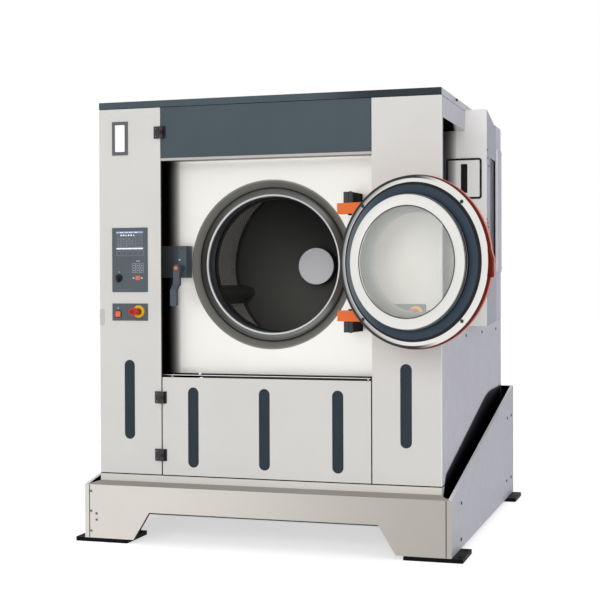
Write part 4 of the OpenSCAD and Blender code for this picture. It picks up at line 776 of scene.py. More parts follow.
def capsule(w, l, shrink=0.0, steps=14):  # upright slot outline about its centre
    r = w / 2 - shrink
    half = l / 2 - w / 2
    points = []
    for start, cy in ((0, half), (180, -half)):
        for k in range(steps + 1):
            a = math.radians(start + 180 * k / steps)
            points.append((r * math.cos(a), cy + r * math.sin(a)))
    return points


def hoop(bm, place, outline, width, low, high):  # flat band that follows an outline
    inner = inset(outline, width)
    a = ring(bm, place, [(x, y, low) for x, y in outline])
    b = ring(bm, place, [(x, y, high) for x, y in outline])
    c = ring(bm, place, [(x, y, high) for x, y in inner])
    d = ring(bm, place, [(x, y, low) for x, y in inner])
    for p, q in ((a, b), (b, c), (c, d), (d, a)):
        bridge(bm, p, q)


def recessReach(kind, r, angle):  # how far the driver recess reaches at an angle
    c, s = abs(math.cos(angle)) + 1e-9, abs(math.sin(angle)) + 1e-9
    if kind == "cross":
        long, wide = 0.58 * r, 0.15 * r
        return max(min(long / c, wide / s), min(wide / c, long / s))
    if kind == "slot":
        return min(0.84 * r / c, 0.13 * r / s)
    turn = (angle + math.pi / 6) % (math.pi / 3) - math.pi / 6
    return 0.45 * r / math.cos(turn)


recessCorners = {
    "cross": [14.5, 45, 75.5, 104.5, 135, 165.5, 194.5, 225, 255.5, 284.5, 315, 345.5],
    "slot": [8.8, 171.2, 188.8, 351.2],
    "hex": [30, 90, 150, 210, 270, 330],
}


def screwHead(bm, place, r, h, kind="cross"):
    angles = sorted(set([15 * k for k in range(24)] + recessCorners[kind]))
    angles = [math.radians(a) for a in angles]

    def circle(size, height):
        return ring(bm, place, [(size * math.cos(a), size * math.sin(a), height) for a in angles])

    def recess(height, by):
        return ring(bm, place, [(by * recessReach(kind, r, a) * math.cos(a),
                                 by * recessReach(kind, r, a) * math.sin(a), height) for a in angles])

    loops = [circle(r * 0.9, 0), circle(r, h * 0.12), circle(r, h * 0.45), circle(r * 0.94, h * 0.75),
             circle(r * 0.87, h), recess(h, 1), recess(h * 0.35, 0.94)]
    skin(bm, loops)


def piece(name, bm, finishName, body, slotName, soft=40):
    bmesh.ops.recalc_face_normals(bm, faces=bm.faces)
    mesh = bpy.data.meshes.new(name)
    bm.to_mesh(mesh)
    bm.free()
    mesh.materials.append(finishes[finishName])
    for face in mesh.polygons:
        face.use_smooth = True
    mesh.set_sharp_from_angle(angle=math.radians(soft))
    obj = bpy.data.objects.new(name, mesh)
    bpy.context.scene.collection.objects.link(obj)
    if body:
        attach(obj, body)
    return obj


# base: screws through the folded plates
baseScrews = {
    "radius": 9, "height": 3.6,
    "side": [(-752, 237), (-759, 64), (786, 491), (954, 492), (754, 123), (938, 121)],  # y, z
    "front": [(-898, 255), (-898, 155), (-868, 143), (-868, 112), (-898, 55)],           # x, z
    "rear": [(-886, 600), (-886, 420), (-886, 138), (-856, 92), (-886, 52)],
}


def makeBaseScrews(b):
    bm = bmesh.new()
    for facing, side in (("right", baseSide), ("left", -baseSide)):
        for i, (y, z) in enumerate(b["side"]):
            screwHead(bm, spot(facing, side, y, z, 20 + 31 * i), b["radius"], b["height"])
    piece("base_screws", bm, "darkScrew", "base", "bearing_steel")
    bm = bmesh.new()
    for i, (x, z) in enumerate(b["front"]):
        screwHead(bm, spot("front", x, baseFront, z, 12 + 47 * i), b["radius"] * 0.7, b["height"])
    for i, (x, z) in enumerate(b["rear"]):
        for mirror in (-1, 1):
            screwHead(bm, spot("rear", mirror * x, baseRear, z, 12 + 47 * i), b["radius"] * 0.7,
                      b["height"])
    piece("plate_screws", bm, "paleScrew", "base", "bearing_steel")


makeBaseScrews(baseScrews)

# sloped lip between the front plate and the chassis, and the dark joints at the plate's ends
frontLip = {"half": 870, "front": (-1006.4, 288.3), "back": (-946.5, 303), "thick": 2.5,
            "flare": 55, "jointX": 907, "jointWidth": 4, "jointLow": 22, "jointHigh": 286}


def makeFrontLip(f):
    bm = bmesh.new()
    (y0, z0), (y1, z1) = f["front"], f["back"]
    place = Matrix.Scale(mm, 4)
    ends = []
    for x, reach in ((-f["half"], -1), (f["half"], 1)):
        flare = reach * f["flare"]  # the lip is cut at a slant at its ends
        ends.append(ring(bm, place, [(x + flare, y0, z0), (x, y1, z1), (x, y1, z1 - f["thick"]),
                                     (x + flare, y0, z0 - 0.2)]))
    skin(bm, ends)
    piece("front_lip", bm, "lipPaint", "base", "base_paint")
    bm = bmesh.new()
    for side in (-1, 1):
        tall = f["jointHigh"] - f["jointLow"]
        slab(bm, spot("front", side * f["jointX"], baseFront, f["jointLow"] + tall / 2),
             roundRect(f["jointWidth"], tall, 1), -0.5, 0.4)
    piece("plate_joints", bm, "postPaint", "base", "black_steel")


makeFrontLip(frontLip)

cornerHighlight = {"low": 343, "high": 2170, "side": cabinetSide, "front": cabinetFront, "wide": 5,
              "proud": 1.6}


def makeCornerHighlight(c):  # painted highlight down each front corner of the cabinet: a thin glowing white strip
    bm = bmesh.new()
    for side in (-1, 1):
        x = side * c["side"]
        outline = [(x - side * 0.5, c["front"] - 0.4), (x + side * 0.4, c["front"] - 0.4),
                   (x + side * c["proud"], c["front"] + c["wide"] * 0.5),
                   (x + side * c["proud"] * 0.6, c["front"] + c["wide"]),
                   (x - side * 0.5, c["front"] + c["wide"])]
        prism(bm, outline, c["low"], c["high"])
    piece("corner_highlights", bm, "paintedLightWhite", "cabinet", "panel_paint")


makeCornerHighlight(cornerHighlight)
print("base dressed")


# double convoluted air springs between base and chassis
airSprings = {"x": 640, "y": 620, "from": 150, "to": 250, "radius": 105, "plate": 74, "girdle": 78,
              "gap": 2,
              "blendFrom": 158, "blendTo": 242, "steps": 12}


def makeAirSprings(a):
    tall = a["to"] - a["from"]
    fold = tall / 4 - a["gap"]
    profile = [(0, 0), (a["plate"], 0), (a["plate"], a["gap"])]
    for middle in (tall / 4, 3 * tall / 4):
        for k in range(a["steps"] + 1):
            angle = math.pi * k / a["steps"]
            profile.append((a["radius"] - fold + fold * math.sin(angle),
                            middle - fold * math.cos(angle)))
        if middle < tall / 2:
            profile += [(a["girdle"], middle + fold), (a["girdle"], tall - middle - fold)]
    profile += [(a["plate"], tall - a["gap"]), (a["plate"], tall), (0, tall)]
    bm = bmesh.new()
    for x in (-a["x"], a["x"]):
        for y in (-a["y"], a["y"]):
            turned(bm, spot("top", x, y, a["from"]), profile, steps=64)
    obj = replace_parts(piece("air_springs", bm, "blackRubber", None, "black_rubber"), "air_bellows")
    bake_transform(obj)


makeAirSprings(airSprings)

cabinetScrews = {
    "radius": 8, "height": 3.4,
    "side": [(-287, 1023), (214, 1023), (713, 1023)],
    "tower": [(-300, 1971), (-276, 1933), (-249, 1894), (-306, 1619), (-280, 1600), (-252, 1580)],
    "towerCover": [(128, 1985), (22, 1985), (128, 1372), (22, 1372)],
    "rear": [(x, z) for x in (-850, -425, 425, 850) for z in (372, 1256, 2141)],
}


def makeCabinetScrews(c):
    dark = bmesh.new()
    bright = bmesh.new()
    for facing, x in (("right", cabinetSide), ("left", -cabinetSide)):
        for i, (y, z) in enumerate(c["side"]):
            screwHead(dark, spot(facing, x, y, z, 25 * i), c["radius"], c["height"])
    for i, (y, z) in enumerate(c["tower"]):
        screwHead(dark, spot("right", 987, y, z, 40 * i), c["radius"] * 0.7, 2.6)
    for i, (y, z) in enumerate(c["towerCover"]):
        screwHead(bright, spot("right", 995, y, z, 33 * i), c["radius"] * 0.7, 2.6)
    for i, (x, z) in enumerate(c["rear"]):
        screwHead(bright, spot("rear", x, cabinetRear, z, 33 * i), c["radius"], c["height"])
    piece("cabinet_screws", dark, "darkScrew", "cabinet", "bearing_steel")
    piece("cover_screws", bright, "screwSteel", "cabinet", "bearing_steel")


makeCabinetScrews(cabinetScrews)

swingLeaves = {"axis": (-531, -954.4), "knuckle": 9, "half": 9.7, "web": 9, "face": -942.4, "thick": 4,
               "left": -525, "right": -512, "leafHalf": 30,
               "on": (("swing_leaf_top", "fascia_hinge", "fascia", (2047,)),
                      ("swing_leaves_low", "lower_hinges", "lower", (728, 441)))}


def makeSwingLeaves(v):
    x, y = v["axis"]
    edge, r, tall = 0.6, v["knuckle"], 2 * v["half"]
    for name, node, body, heights in v["on"]:
        bm = bmesh.new()
        for z in heights:
            turned(bm, spot("top", x, y, z - v["half"]),
                   [(0, 0), (r - edge, 0), (r, edge), (r, tall - edge), (r - edge, tall), (0, tall)])
            slab(bm, spot("top", 0, 0, z - v["half"]),
                 [(x, y), (x + v["web"], y), (x + v["web"], v["face"]), (x, v["face"])], 0, tall)
            slab(bm, spot("front", (v["left"] + v["right"]) / 2, v["face"], z),
                 roundRect(v["right"] - v["left"], 2 * v["leafHalf"], 1.2), 0, v["thick"], edge)
        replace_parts(piece(name, bm, "blackPaint", body, "black_steel"), node)


makeSwingLeaves(swingLeaves)

hingeScrews = {"x": -563, "rise": 19, "radius": 3.6, "hinges": (2047, 728, 441), "swingX": -518,
               "y": -945.9, "fixedHigh": 1.6, "swingHigh": 1.4}


def makeHingeScrews(h):
    fixed = bmesh.new()
    for z in h["hinges"]:
        for side in (-1, 1):
            screwHead(fixed, spot("front", h["x"], h["y"], z + side * h["rise"], 20 * side),
                      h["radius"], h["fixedHigh"])
    piece("hinge_screws", fixed, "screwSteel", "cabinet", "bearing_steel")
    for name, body, heights in (("fascia_hinge_screws", "fascia", h["hinges"][:1]),
                                ("lower_hinge_screws", "lower", h["hinges"][1:])):
        bm = bmesh.new()
        for z in heights:
            for side in (-1, 1):
                screwHead(bm, spot("front", h["swingX"], h["y"], z + side * h["rise"], 15),
                          h["radius"], h["swingHigh"])
        piece(name, bm, "darkScrew", body, "bearing_steel")


makeHingeScrews(hingeScrews)

catches = {"leftIn": 38, "reach": 32, "tall": 11, "thick": 2.5, "y": -934, "z": 835, "edge": 541,
           "screw": 4.6}


def makeCatches(c):
    plate = bmesh.new()
    heads = bmesh.new()
    for side in (-1, 1):
        x = side * (c["edge"] - c["reach"] / 2) + (c["leftIn"] if side < 0 else 0)
        slab(plate, spot("front", x, c["y"], c["z"]), roundRect(c["reach"], c["tall"], 2), 0,
             c["thick"], 0.4)
        screwHead(heads, spot("front", x - side * 4, c["y"] - c["thick"], c["z"], 30), c["screw"],
                  2.6, "slot")
    piece("panel_catches", plate, "blackPaint", "cabinet", "black_steel")
    piece("catch_screws", heads, "screwSteel", "cabinet", "bearing_steel")


makeCatches(catches)

# folded lips that narrow the gap over the lower panel
gapLips = {"half": 533, "recess": (840.2, 843.4), "lower": (812, 829.2), "y": -942.4, "thick": 3}


def makeGapLips(g):
    for name, finishName, bodyName, slotName in (("recess", "frontSteel", "cabinet", "stainless"),
                                                 ("lower", "panelPaint", "lower", "panel_paint")):
        low, high = g[name]
        bm = bmesh.new()
        outline = roundRect(2 * g["half"], high - low, 1)
        slab(bm, spot("front", 0, g["y"] + g["thick"], (low + high) / 2), outline, 0, g["thick"], 0.6)
        piece(name + "_lip", bm, finishName, bodyName, slotName)


makeGapLips(gapLips)
print("cabinet screws and catches made")


# domed slot inserts
slotDomes = {"width": 54.6, "length": 396.6, "bulge": 4.0, "y": -941,
             "columns": (-713, 705), "columnZ": 714, "lower": (-371, 0, 371), "lowerZ": 582}


def dome(bm, place, w, l, bulge, rows=7):
    loops = [ring(bm, place, [(x, y, 0) for x, y in capsule(w, l)])]
    for k in range(rows):
        a = math.radians(90 * (k + 0.6) / rows)
        shrink = (w / 2 - 0.8) * (1 - math.cos(a))
        loops.append(ring(bm, place, [(x, y, bulge * math.sin(a)) for x, y in capsule(w, l, shrink)]))
    skin(bm, loops)


def makeDomes(s):
    for name, body, centres, z in (("column_slot_domes", "cabinet", s["columns"], s["columnZ"]),
                                   ("lower_slot_domes", "lower", s["lower"], s["lowerZ"])):
        bm = bmesh.new()
        for x in centres:
            dome(bm, spot("front", x, s["y"], z), s["width"], s["length"], s["bulge"])
        piece(name, bm, "slotPlastic", body, "dark_plastic", 60)


makeDomes(slotDomes)

nameCard = {"x": -759, "z": 2024, "w": 52, "h": 134, "y": -946}


# the card glows a little: painted light
def makeNameCard(n):
    bm = bmesh.new()
    slab(bm, spot("front", n["x"], n["y"], n["z"]), roundRect(n["w"], n["h"], 3), -0.5, 0.6, 0.3)
    piece("name_card", bm, "paintedLightWhite", "cabinet", "control_plastic")


makeNameCard(nameCard)

edgeTab = {"x": -862.5, "z": 1126, "w": 25, "h": 84, "thick": 3}


def makeEdgeTab(t):
    bm = bmesh.new()
    slab(bm, spot("front", t["x"], cabinetFront, t["z"]), roundRect(t["w"], t["h"], 9), -0.5,
         t["thick"], 1.2)
    piece("edge_tab", bm, "tabGrey", "cabinet", "panel_paint")


makeEdgeTab(edgeTab)

coverKnob = {"y": -562, "z": 2196, "radius": 7, "reach": 9}


def makeCoverKnob(k):
    bm = bmesh.new()
    r, h = k["radius"], k["reach"]
    turned(bm, spot("right", cabinetSide, k["y"], k["z"]),
           [(0, -1), (r * 0.6, -1), (r * 0.6, h * 0.3), (r, h * 0.4), (r, h * 0.85), (r * 0.8, h),
            (0, h)], 24)
    piece("cover_knob", bm, "blackPaint", "cabinet", "black_steel")


makeCoverKnob(coverKnob)
print("slot inserts, card, tab and knob made")


# mouth: steel trim and rubber beads
mouth = {"axisZ": axisHeight, "trimIn": 415.2, "trimOut": 420, "grooveBead": (379.4, -805.5, 3.4),
         "throatBeads": [(336.9, -797, 1.3), (336.7, -783, 1.3), (336.5, -768, 1.3)]}


def bead(bm, place, radius, thick, steps=120, round_=8):
    profile = [(radius + thick * math.cos(2 * math.pi * k / round_),
                thick * math.sin(2 * math.pi * k / round_))
               for k in range(round_)]
    turned(bm, place, profile, steps, shut=True)


def makeMouth(m):
    bm = bmesh.new()
    turned(bm, spot("front", 0, -822, m["axisZ"]),
           [(m["trimIn"], 0), (m["trimIn"], 1.6), (m["trimIn"] + 1.2, 2.2), (m["trimOut"] - 1, 2.2),
            (m["trimOut"], 1.2), (m["trimOut"], 0)], 128, shut=True)
    piece("mouth_trim", bm, "ringSteel", "cabinet", "stainless")
    bm = bmesh.new()
    radius, y, thick = m["grooveBead"]
    bead(bm, spot("front", 0, y, m["axisZ"]), radius, thick)
    piece("mouth_bead", bm, "blackRubber", "cabinet", "black_rubber")
    bm = bmesh.new()
    for radius, y, thick in m["throatBeads"]:
        bead(bm, spot("front", 0, y, m["axisZ"]), radius, thick)
    piece("throat_beads", bm, "lockPlastic", "cabinet", "black_rubber")


makeMouth(mouth)

hubCover = {"radius": 100.3, "y": -38.2, "thick": 5, "edge": 1.5}


def makeHub(h):
    bm = bmesh.new()
    r, t, e = h["radius"], h["thick"], h["edge"]
    turned(bm, spot("front", 0, h["y"], mouth["axisZ"]),
           [(0, 0), (r, 0), (r, t - e), (r - e, t), (r * 0.3, t + 0.6), (0, t + 0.8)], 96)
    piece("hub_cover", bm, "hubSteel", "drum", "stainless")


makeHub(hubCover)
print("mouth and hub made")


# door: flange and glass ring, collar, lip seal, gaskets and screws; heights are from the flange's face
doorTrim = {
    "faceY": -829, "axisZ": axisHeight,
    "ring": [(386, -6), (386, -1.6), (384.6, 0), (341, 0), (341, -3), (299, -3), (299, 45.2),
             (297.4, 46.8),
             (251, 47), (249.6, 46.3), (249.6, 43.1), (289, 43.1), (294, 40), (294, -6)],
    "collar": [(299.1, 2), (302, 2), (302, 38), (301, 41), (299.1, 42)],
    "bowl": [(249.8, 31.4), (246, 10), (238, -22), (227, -52), (225.4, -54), (223.6, -52.6), (225, -51),
             (236, -22), (244, 10), (247.6, 31.4)],
    "lip": [(302.2, 2), (302.2, 12), (304, 13.4), (322, 12.8), (338, 11), (343, 9.8), (344.2, 8.6),
            (344.2, 2)],
    "edge": [(344.4, 0.1), (344.4, 8.4), (345.6, 8), (353.5, 2), (356.5, 1.2), (357, 0.1)],
    "shell": [(386, -6.2), (388.2, -13), (390.4, -24), (391, -35), (389.4, -44), (385, -50.4),
              (378, -53.4),
              (370, -54), (326, -54), (320, -48), (320, -11), (324, -11), (324, -46), (330, -50),
              (370, -50),
              (378, -49), (384, -44), (386.4, -35), (386, -24), (384, -13), (382, -6.2)],
    "grip": {"outline": [(-384, 60), (-400, 12), (-401, -64), (-399, -69), (-384, -70)],
             "y": (-871, -839), "edge": 3},
    "wires": [(301.4, 40, 0.8), (302.2, 27, 0.7)],
    "gasket": (250.2, 46.6, 2.1),
    "screwOffset": 259, "screwRadius": 8.5, "screwHeight": 3.2,
}


def makeDoorTrim(d):
    def around(name, profile, finishName, slotName, replaced=None, steps=144):
        bm = bmesh.new()
        turned(bm, onDoor("rear", 0, d["faceY"], d["axisZ"]), profile, steps, shut=True)
        obj = piece(name, bm, finishName, "door", slotName)
        if replaced:
            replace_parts(obj, replaced)
        return obj

    around("door_ring", d["ring"], "doorSteel", "door_steel", "door_frame")
    # the collar's wall is black as painted shade
    around("ring_collar", d["collar"], "blackRubber", "black_rubber")
    around("lip_seal", d["lip"], "sealRubber", "seal_rubber", "door_seal")
    around("seal_edge", d["edge"], "blackRubber", "black_rubber")
    around("glass_bowl", d["bowl"], "bowlGrey", "door_steel")
    for name, rows, finishName, slotName in (("glass_gasket", [d["gasket"]], "blackRubber",
                                              "black_rubber"),
                                             ("collar_wires", d["wires"], "screwSteel", "stainless")):
        bm = bmesh.new()
        for radius, height, thick in rows:
            bead(bm, onDoor("rear", 0, d["faceY"] + height, d["axisZ"]), radius, thick, 144)
        piece(name, bm, finishName, "door", slotName)
    bm = bmesh.new()
    turned(bm, onDoor("rear", 0, d["faceY"], d["axisZ"]), d["shell"], 144, shut=True)
    grip, (back, front) = d["grip"], d["grip"]["y"]
    place = doorTurn @ Matrix.Scale(mm, 4)
    loops = []
    for y, shrink in ((back, grip["edge"]), (back + grip["edge"], 0), (front, 0)):
        loops.append(ring(bm, place, [(x + (shrink if x < -386 else 0), y, d["axisZ"] + z)
                                      for x, z in grip["outline"]]))
    skin(bm, loops)
    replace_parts(piece("shell_and_grip", bm, "shellPaint", "door", "orange_paint"), "door_shell")
    bm = bmesh.new()
    for i, (sx, sz) in enumerate(((-1, -1), (-1, 1), (1, -1), (1, 1))):
        screwHead(bm,
                  onDoor("rear", sx * d["screwOffset"], d["faceY"],
                         d["axisZ"] + sz * d["screwOffset"], 50 * i),
                  d["screwRadius"], d["screwHeight"], "slot")
    piece("flange_screws", bm, "darkScrew", "door", "bearing_steel")


makeDoorTrim(doorTrim)


# door shell: deep red wall as painted shade, lighter rounded rim as painted highlight; flange edge
# shaded at the hinge side as painted reflection, with a black brink; seal paler to one side as painted
# light
doorZones = {"wall": (104, 20, 9), "rim": (250, 160, 134), "rimFrom": -0.024, "rimTo": -0.033,
             "wallRadius": 0.3815,
             "flangeEdge": (112, 112, 114), "flangeFrom": 0.35, "flangeTo": 0.374, "brink": 0.3735,
             "brinkColour": (14, 13, 14), "sealSide": (104, 114, 120)}


# height along the door's axis, distance from it and place across it, at the open rest
def doorPlaces(tree, place):
    centre = doorTurn @ Vector((0, doorTrim["faceY"] * mm, doorTrim["axisZ"] * mm))
    axis = (doorTurn.to_3x3() @ Vector((0, 1, 0))).normalized()
    offset = addNode(tree, "ShaderNodeVectorMath", {1: tuple(centre)}, operation="SUBTRACT")
    tree.links.new(place, offset.inputs[0])
    along = addNode(tree, "ShaderNodeVectorMath", {1: tuple(axis)}, operation="DOT_PRODUCT")
    tree.links.new(offset.outputs[0], along.inputs[0])
    length = addNode(tree, "ShaderNodeVectorMath", operation="LENGTH")
    tree.links.new(offset.outputs[0], length.inputs[0])
    height, reach = along.outputs["Value"], length.outputs["Value"]
    radius = mathNode(tree, "SQRT", mathNode(tree, "SUBTRACT", times(tree, reach, reach),
                                             times(tree, height, height)))
    side = addNode(tree, "ShaderNodeVectorMath", {1: tuple(doorTurn.to_3x3() @ Vector((1, 0, 0)))},
                   operation="DOT_PRODUCT")
    tree.links.new(offset.outputs[0], side.inputs[0])
    return height, radius, side.outputs["Value"]


def addDoorZones(d):
    tree, shader, place, shown = parts(finishes["shellPaint"])
    height, radius, _ = doorPlaces(tree, place)
    # painted shade on the wall, painted highlight on the rim
    shown = mixColour(tree, mathNode(tree, "GREATER_THAN", radius, d["wallRadius"]), shown, d["wall"])
    rim = times(tree, ranged(tree, height, d["rimFrom"], d["rimTo"]),
                   mathNode(tree, "GREATER_THAN", radius, d["wallRadius"]))
    paint(tree, shader, mixColour(tree, rim, shown, d["rim"]))
    tree, shader, place, shown = parts(finishes["doorSteel"])
    height, radius, side = doorPlaces(tree, place)
    # painted reflection: the flange's edge darker and its brink black
    edge = times(tree, ranged(tree, radius, d["flangeFrom"], d["flangeTo"], smooth=False),
                    ranged(tree, side, -0.02, 0.3))
    shown = mixColour(tree, edge, shown, d["flangeEdge"])
    brink = times(tree, mathNode(tree, "GREATER_THAN", radius, d["brink"]),
                     ranged(tree, side, -0.16, -0.02))
    paint(tree, shader, mixColour(tree, brink, shown, d["brinkColour"]))
    metal = shader.inputs["Metallic"]
    tree.links.new(ranged(tree, brink, 0, 1, metal.default_value, 0), metal)
    tree, shader, place, shown = parts(finishes["sealRubber"])
    side = doorPlaces(tree, place)[2]
    # painted light: the seal paler to one side
    paint(tree, shader, mixColour(tree, ranged(tree, side, 0.12, 0.34), shown, d["sealSide"]))


addDoorZones(doorZones)

# the bowl behind the glass pales towards its rear edge
bowlFade = {"from": 0.02, "to": -0.052, "pale": (152, 154, 150)}


def addBowlFade(mat, b):
    tree, shader, place, shown = parts(mat)
    fade = ranged(tree, doorPlaces(tree, place)[0], b["from"], b["to"], smooth=False)
    paint(tree, shader, mixColour(tree, mathNode(tree, "POWER", fade, 2.0), shown, b["pale"]))


addBowlFade(finishes["bowlGrey"], bowlFade)


# hinge brackets: pin block with its barrel and the arm that runs back to the front plate
bracket = {
    "midZ": 1394, "low": 281, "tall": 52, "pinLow": 222,
    "block": [(416, -958), (414.5, -986), (416, -990), (419, -992), (438, -992), (441, -988),
              (441, -958)],
    "arm": [(418, -972), (455, -975), (462, -827), (466, -826), (466, -822), (400, -822),
            (400, -826), (405, -827)],
    "barrel": (447, -979, 12), "nut": (444, -974, 10, 6),
}


def makeBrackets(b):
    front, rear = bmesh.new(), bmesh.new()
    for side in (1, -1):
        def at(x, y, height):  # heights run away from the door's middle
            return (Matrix.Translation(Vector((x, y, b["midZ"] + side * height)) * mm)
                    @ Matrix.Scale(side, 4, Vector((0, 0, 1))) @ Matrix.Scale(mm, 4))
        place = at(0, 0, b["low"])
        slab(front, place, b["block"], 0, b["tall"], 1)
        slab(rear, place, b["arm"], 0.5, b["tall"] - 0.5)
        x, y, r = b["barrel"]
        turned(front, at(x, y, b["low"] - 1),
               [(0, 0), (r, 0), (r, b["tall"] - 1), (r - 2, b["tall"] + 1), (r - 5, b["tall"] + 2.5),
                (3, b["tall"] + 4), (0, b["tall"] + 4.2)], 28)
        x, y, r, tall = b["nut"]
        turned(rear, at(x, y, b["pinLow"]),
               [(0, 0), (r - 1, 0), (r, 1), (r, tall), (r - 2.5, tall), (r - 2.5, 64),
                                             (0, 64)], 6 * 4)
    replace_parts(piece("hinge_brackets", rear, "postPaint", "cabinet", "black_steel"), "door_brackets")
    piece("bracket_blocks", front, "bracketGrey", "cabinet", "black_steel")


makeBrackets(bracket)
print("door trim made")


# control panel: screen, keys and printed outlines
screen = {
    "y": -945.9,
    "topBar": (-708, 1552.5, 146, 9), "bottomBar": (-708, 1471.5, 146, 7),
    "icons": {"x": -754, "z": 1538, "step": 13.6, "count": 6, "size": 8.6},
    "rows": [(1520, 5), (1509, 6), (1495, 6), (1485, 4)],
    "side": (-659, 1510, 34, 60),
}


def makeScreen(s):
    at = lambda x, z: spot("front", x, s["y"], z)
    bm = bmesh.new()
    x, z, w, h = s["topBar"]
    slab(bm, at(x, z), roundRect(w, h, 1), 0, 0.4, 0.1)
    piece("screen_top_bar", bm, "barBlue", "cabinet", "display")
    bm = bmesh.new()
    x, z, w, h = s["bottomBar"]
    for k in range(5):  # the bar is cut into five fields
        slab(bm, at(x + (k - 2) * w / 5, z), roundRect(w / 5 - 1.2, h, 1), 0, 0.4, 0.1)
    icons = s["icons"]
    for k in range(icons["count"]):
        place = at(icons["x"] + k * icons["step"], icons["z"])
        size = icons["size"]
        if k % 3 == 0:
            turned(bm, place, [(0, 0), (size / 2, 0), (size / 2, 0.4), (0, 0.4)], 20)
        elif k % 3 == 1:
            slab(bm, place, roundRect(size, size * 0.8, 1.4), 0, 0.4, 0.1)
        else:
            slab(bm, place, [(-size / 2, -size * 0.4), (size / 2, -size * 0.4), (0, size * 0.5)], 0,
                 0.4)
    for k in range(9):
        slab(bm, at(-775 + 13 * k + 4 * (k % 2), 1552.5), roundRect(5 + 3 * (k % 3), 3, 0.8), 0.35, 0.5)
    piece("screen_icons", bm, "lampWhite", "cabinet", "display")
    bm = bmesh.new()
    for z, count in s["rows"]:
        for k in range(count):
            slab(bm, at(-770 + 15 * k, z), roundRect(7.5 + 2.5 * ((k + count) % 2), 4.4, 1), 0, 0.3)
    x, z, w, h = s["side"]
    hoop(bm, at(x, z), roundRect(w, h, 2), 1.2, 0, 0.3)
    piece("screen_rows", bm, "printGrey", "cabinet", "display")


makeScreen(screen)

panelPrint = {
    "y": -945, "thick": 0.35, "line": 1.3,
    "softKeys": {"x": -706.5, "z": 1448, "w": 151, "h": 27, "count": 5},
    "pad": {"x": -664.5, "z": 1374, "w": 65, "h": 50},
    "orangeKey": (-665, 1324, 24, 22),
    "ruleX": (-783, -693), "ruleZ": 1265, "tickZ": 1461, "lampsZ": 1409, "lampX": -663,
    "squares": (-688, -643.5), "key": (-767, 1324), "keyLampZ": 1354,
    "startX": (-773, 643), "startZ": 1143, "startMarkZ": 1173, "stopX": (-659, 757), "stopZ": 1156,
    "stopY": -953,
}


def makePanelPrint(p):
    at = lambda x, z: spot("front", x, p["y"], z)
    bm = bmesh.new()
    keys = p["softKeys"]
    cell = keys["w"] / keys["count"]
    hoop(bm, at(keys["x"], keys["z"]), roundRect(keys["w"], keys["h"], 3), p["line"], 0, p["thick"])
    for k in range(keys["count"]):
        x = keys["x"] + (k - (keys["count"] - 1) / 2) * cell
        hoop(bm, at(x, keys["z"]), roundRect(cell - 7, keys["h"] - 8, 3), p["line"] * 0.8, 0,
             p["thick"])
        slab(bm, at(x, p["tickZ"]), roundRect(1.6, 3.0, 0.5), 0, p["thick"])
    slab(bm, at(sum(p["ruleX"]) / 2, p["ruleZ"]),
         roundRect(p["ruleX"][1] - p["ruleX"][0], 1.2, 0.4), 0, p["thick"])
    piece("panel_outlines", bm, "printGrey", "cabinet", "control_plastic")

    bm = bmesh.new()
    pad = p["pad"]
    for col in range(3):
        for row in range(2):
            x = pad["x"] + (col - 1) * pad["w"] / 3
            z = pad["z"] + (row - 0.5) * pad["h"] / 2
            hoop(bm, at(x, z), roundRect(pad["w"] / 3 - 2, pad["h"] / 2 - 2.4, 2.5),
                 p["line"] * 0.8, 0, p["thick"])
            if (col + row) % 2:
                turn = 90 * col + 180 * row
                tri = [(4.2 * math.cos(math.radians(turn + 120 * k)),
                        4.2 * math.sin(math.radians(turn + 120 * k))) for k in range(3)]
                slab(bm, at(x, z), tri, 0, p["thick"])
            else:
                slab(bm, at(x, z), roundRect(6, 5, 1), 0, p["thick"])
    for k in (-1, 0, 1):
        slab(bm, at(p["lampX"] + 7 * k, p["lampsZ"]), roundRect(4.4, 5.6, 1), 0, p["thick"])
    for x in p["squares"]:
        slab(bm, at(x, p["key"][1]), roundRect(9, 9, 2), 0, p["thick"])
    turned(bm, at(p["key"][0], p["keyLampZ"]), [(0, 0), (3, 0), (3, p["thick"]), (0, p["thick"])], 18)
    for x in p["startX"]:
        hoop(bm, at(x, p["startMarkZ"]), roundRect(9, 9, 2), 1.2, 0, p["thick"])
        slab(bm, at(x, p["startMarkZ"]), roundRect(3, 3, 1), 0, p["thick"])
    piece("panel_marks", bm, "printLight", "cabinet", "control_plastic")

    bm = bmesh.new()
    x, z, w, h = p["orangeKey"]
    slab(bm, at(x, z), roundRect(w, h, 3), -0.3, 2.2, 0.9)
    piece("orange_key", bm, "orangePlastic", "cabinet", "orange_plastic")

    bm = bmesh.new()
    turned(bm, at(*p["key"]), [(20, 0), (20, 1.2), (19, 2), (15.6, 2), (15.2, 1.2), (15.2, 0)], 40,
           shut=True)
    for x in p["startX"]:  # dark bezels round the start buttons
        hoop(bm, at(x, p["startZ"]), roundRect(36, 36, 4), 3.4, 0, 1.5)
    for x in p["stopX"]:
        turned(bm, spot("front", x, p["stopY"], p["stopZ"]),
               [(16, 0), (16, 0.8), (12, 0.8), (12, 0)], 36, shut=True)
    piece("switch_bezels", bm, "blackPaint", "cabinet", "black_steel")


makePanelPrint(panelPrint)
print("control panel made")


# lock: screws and a round mark
lockTrim = {"screws": [(-435, 1470), (-435, 1337)], "mark": (-446, 1413)}


def makeLockTrim(t):
    bm = bmesh.new()
    for i, (x, z) in enumerate(t["screws"]):
        screwHead(bm, spot("front", x, lockFace, z, 33 * i), 4.2, 2.4, "hex")
    piece("lock_screws", bm, "darkScrew", "cabinet", "bearing_steel")
    bm = bmesh.new()
    x, z = t["mark"]
    turned(bm, spot("front", x, lockFace, z), [(0, 0), (4.5, 0), (4.5, 0.4), (0, 0.4)], 22)
    piece("lock_mark", bm, "printLight", "cabinet", "control_plastic")


makeLockTrim(lockTrim)


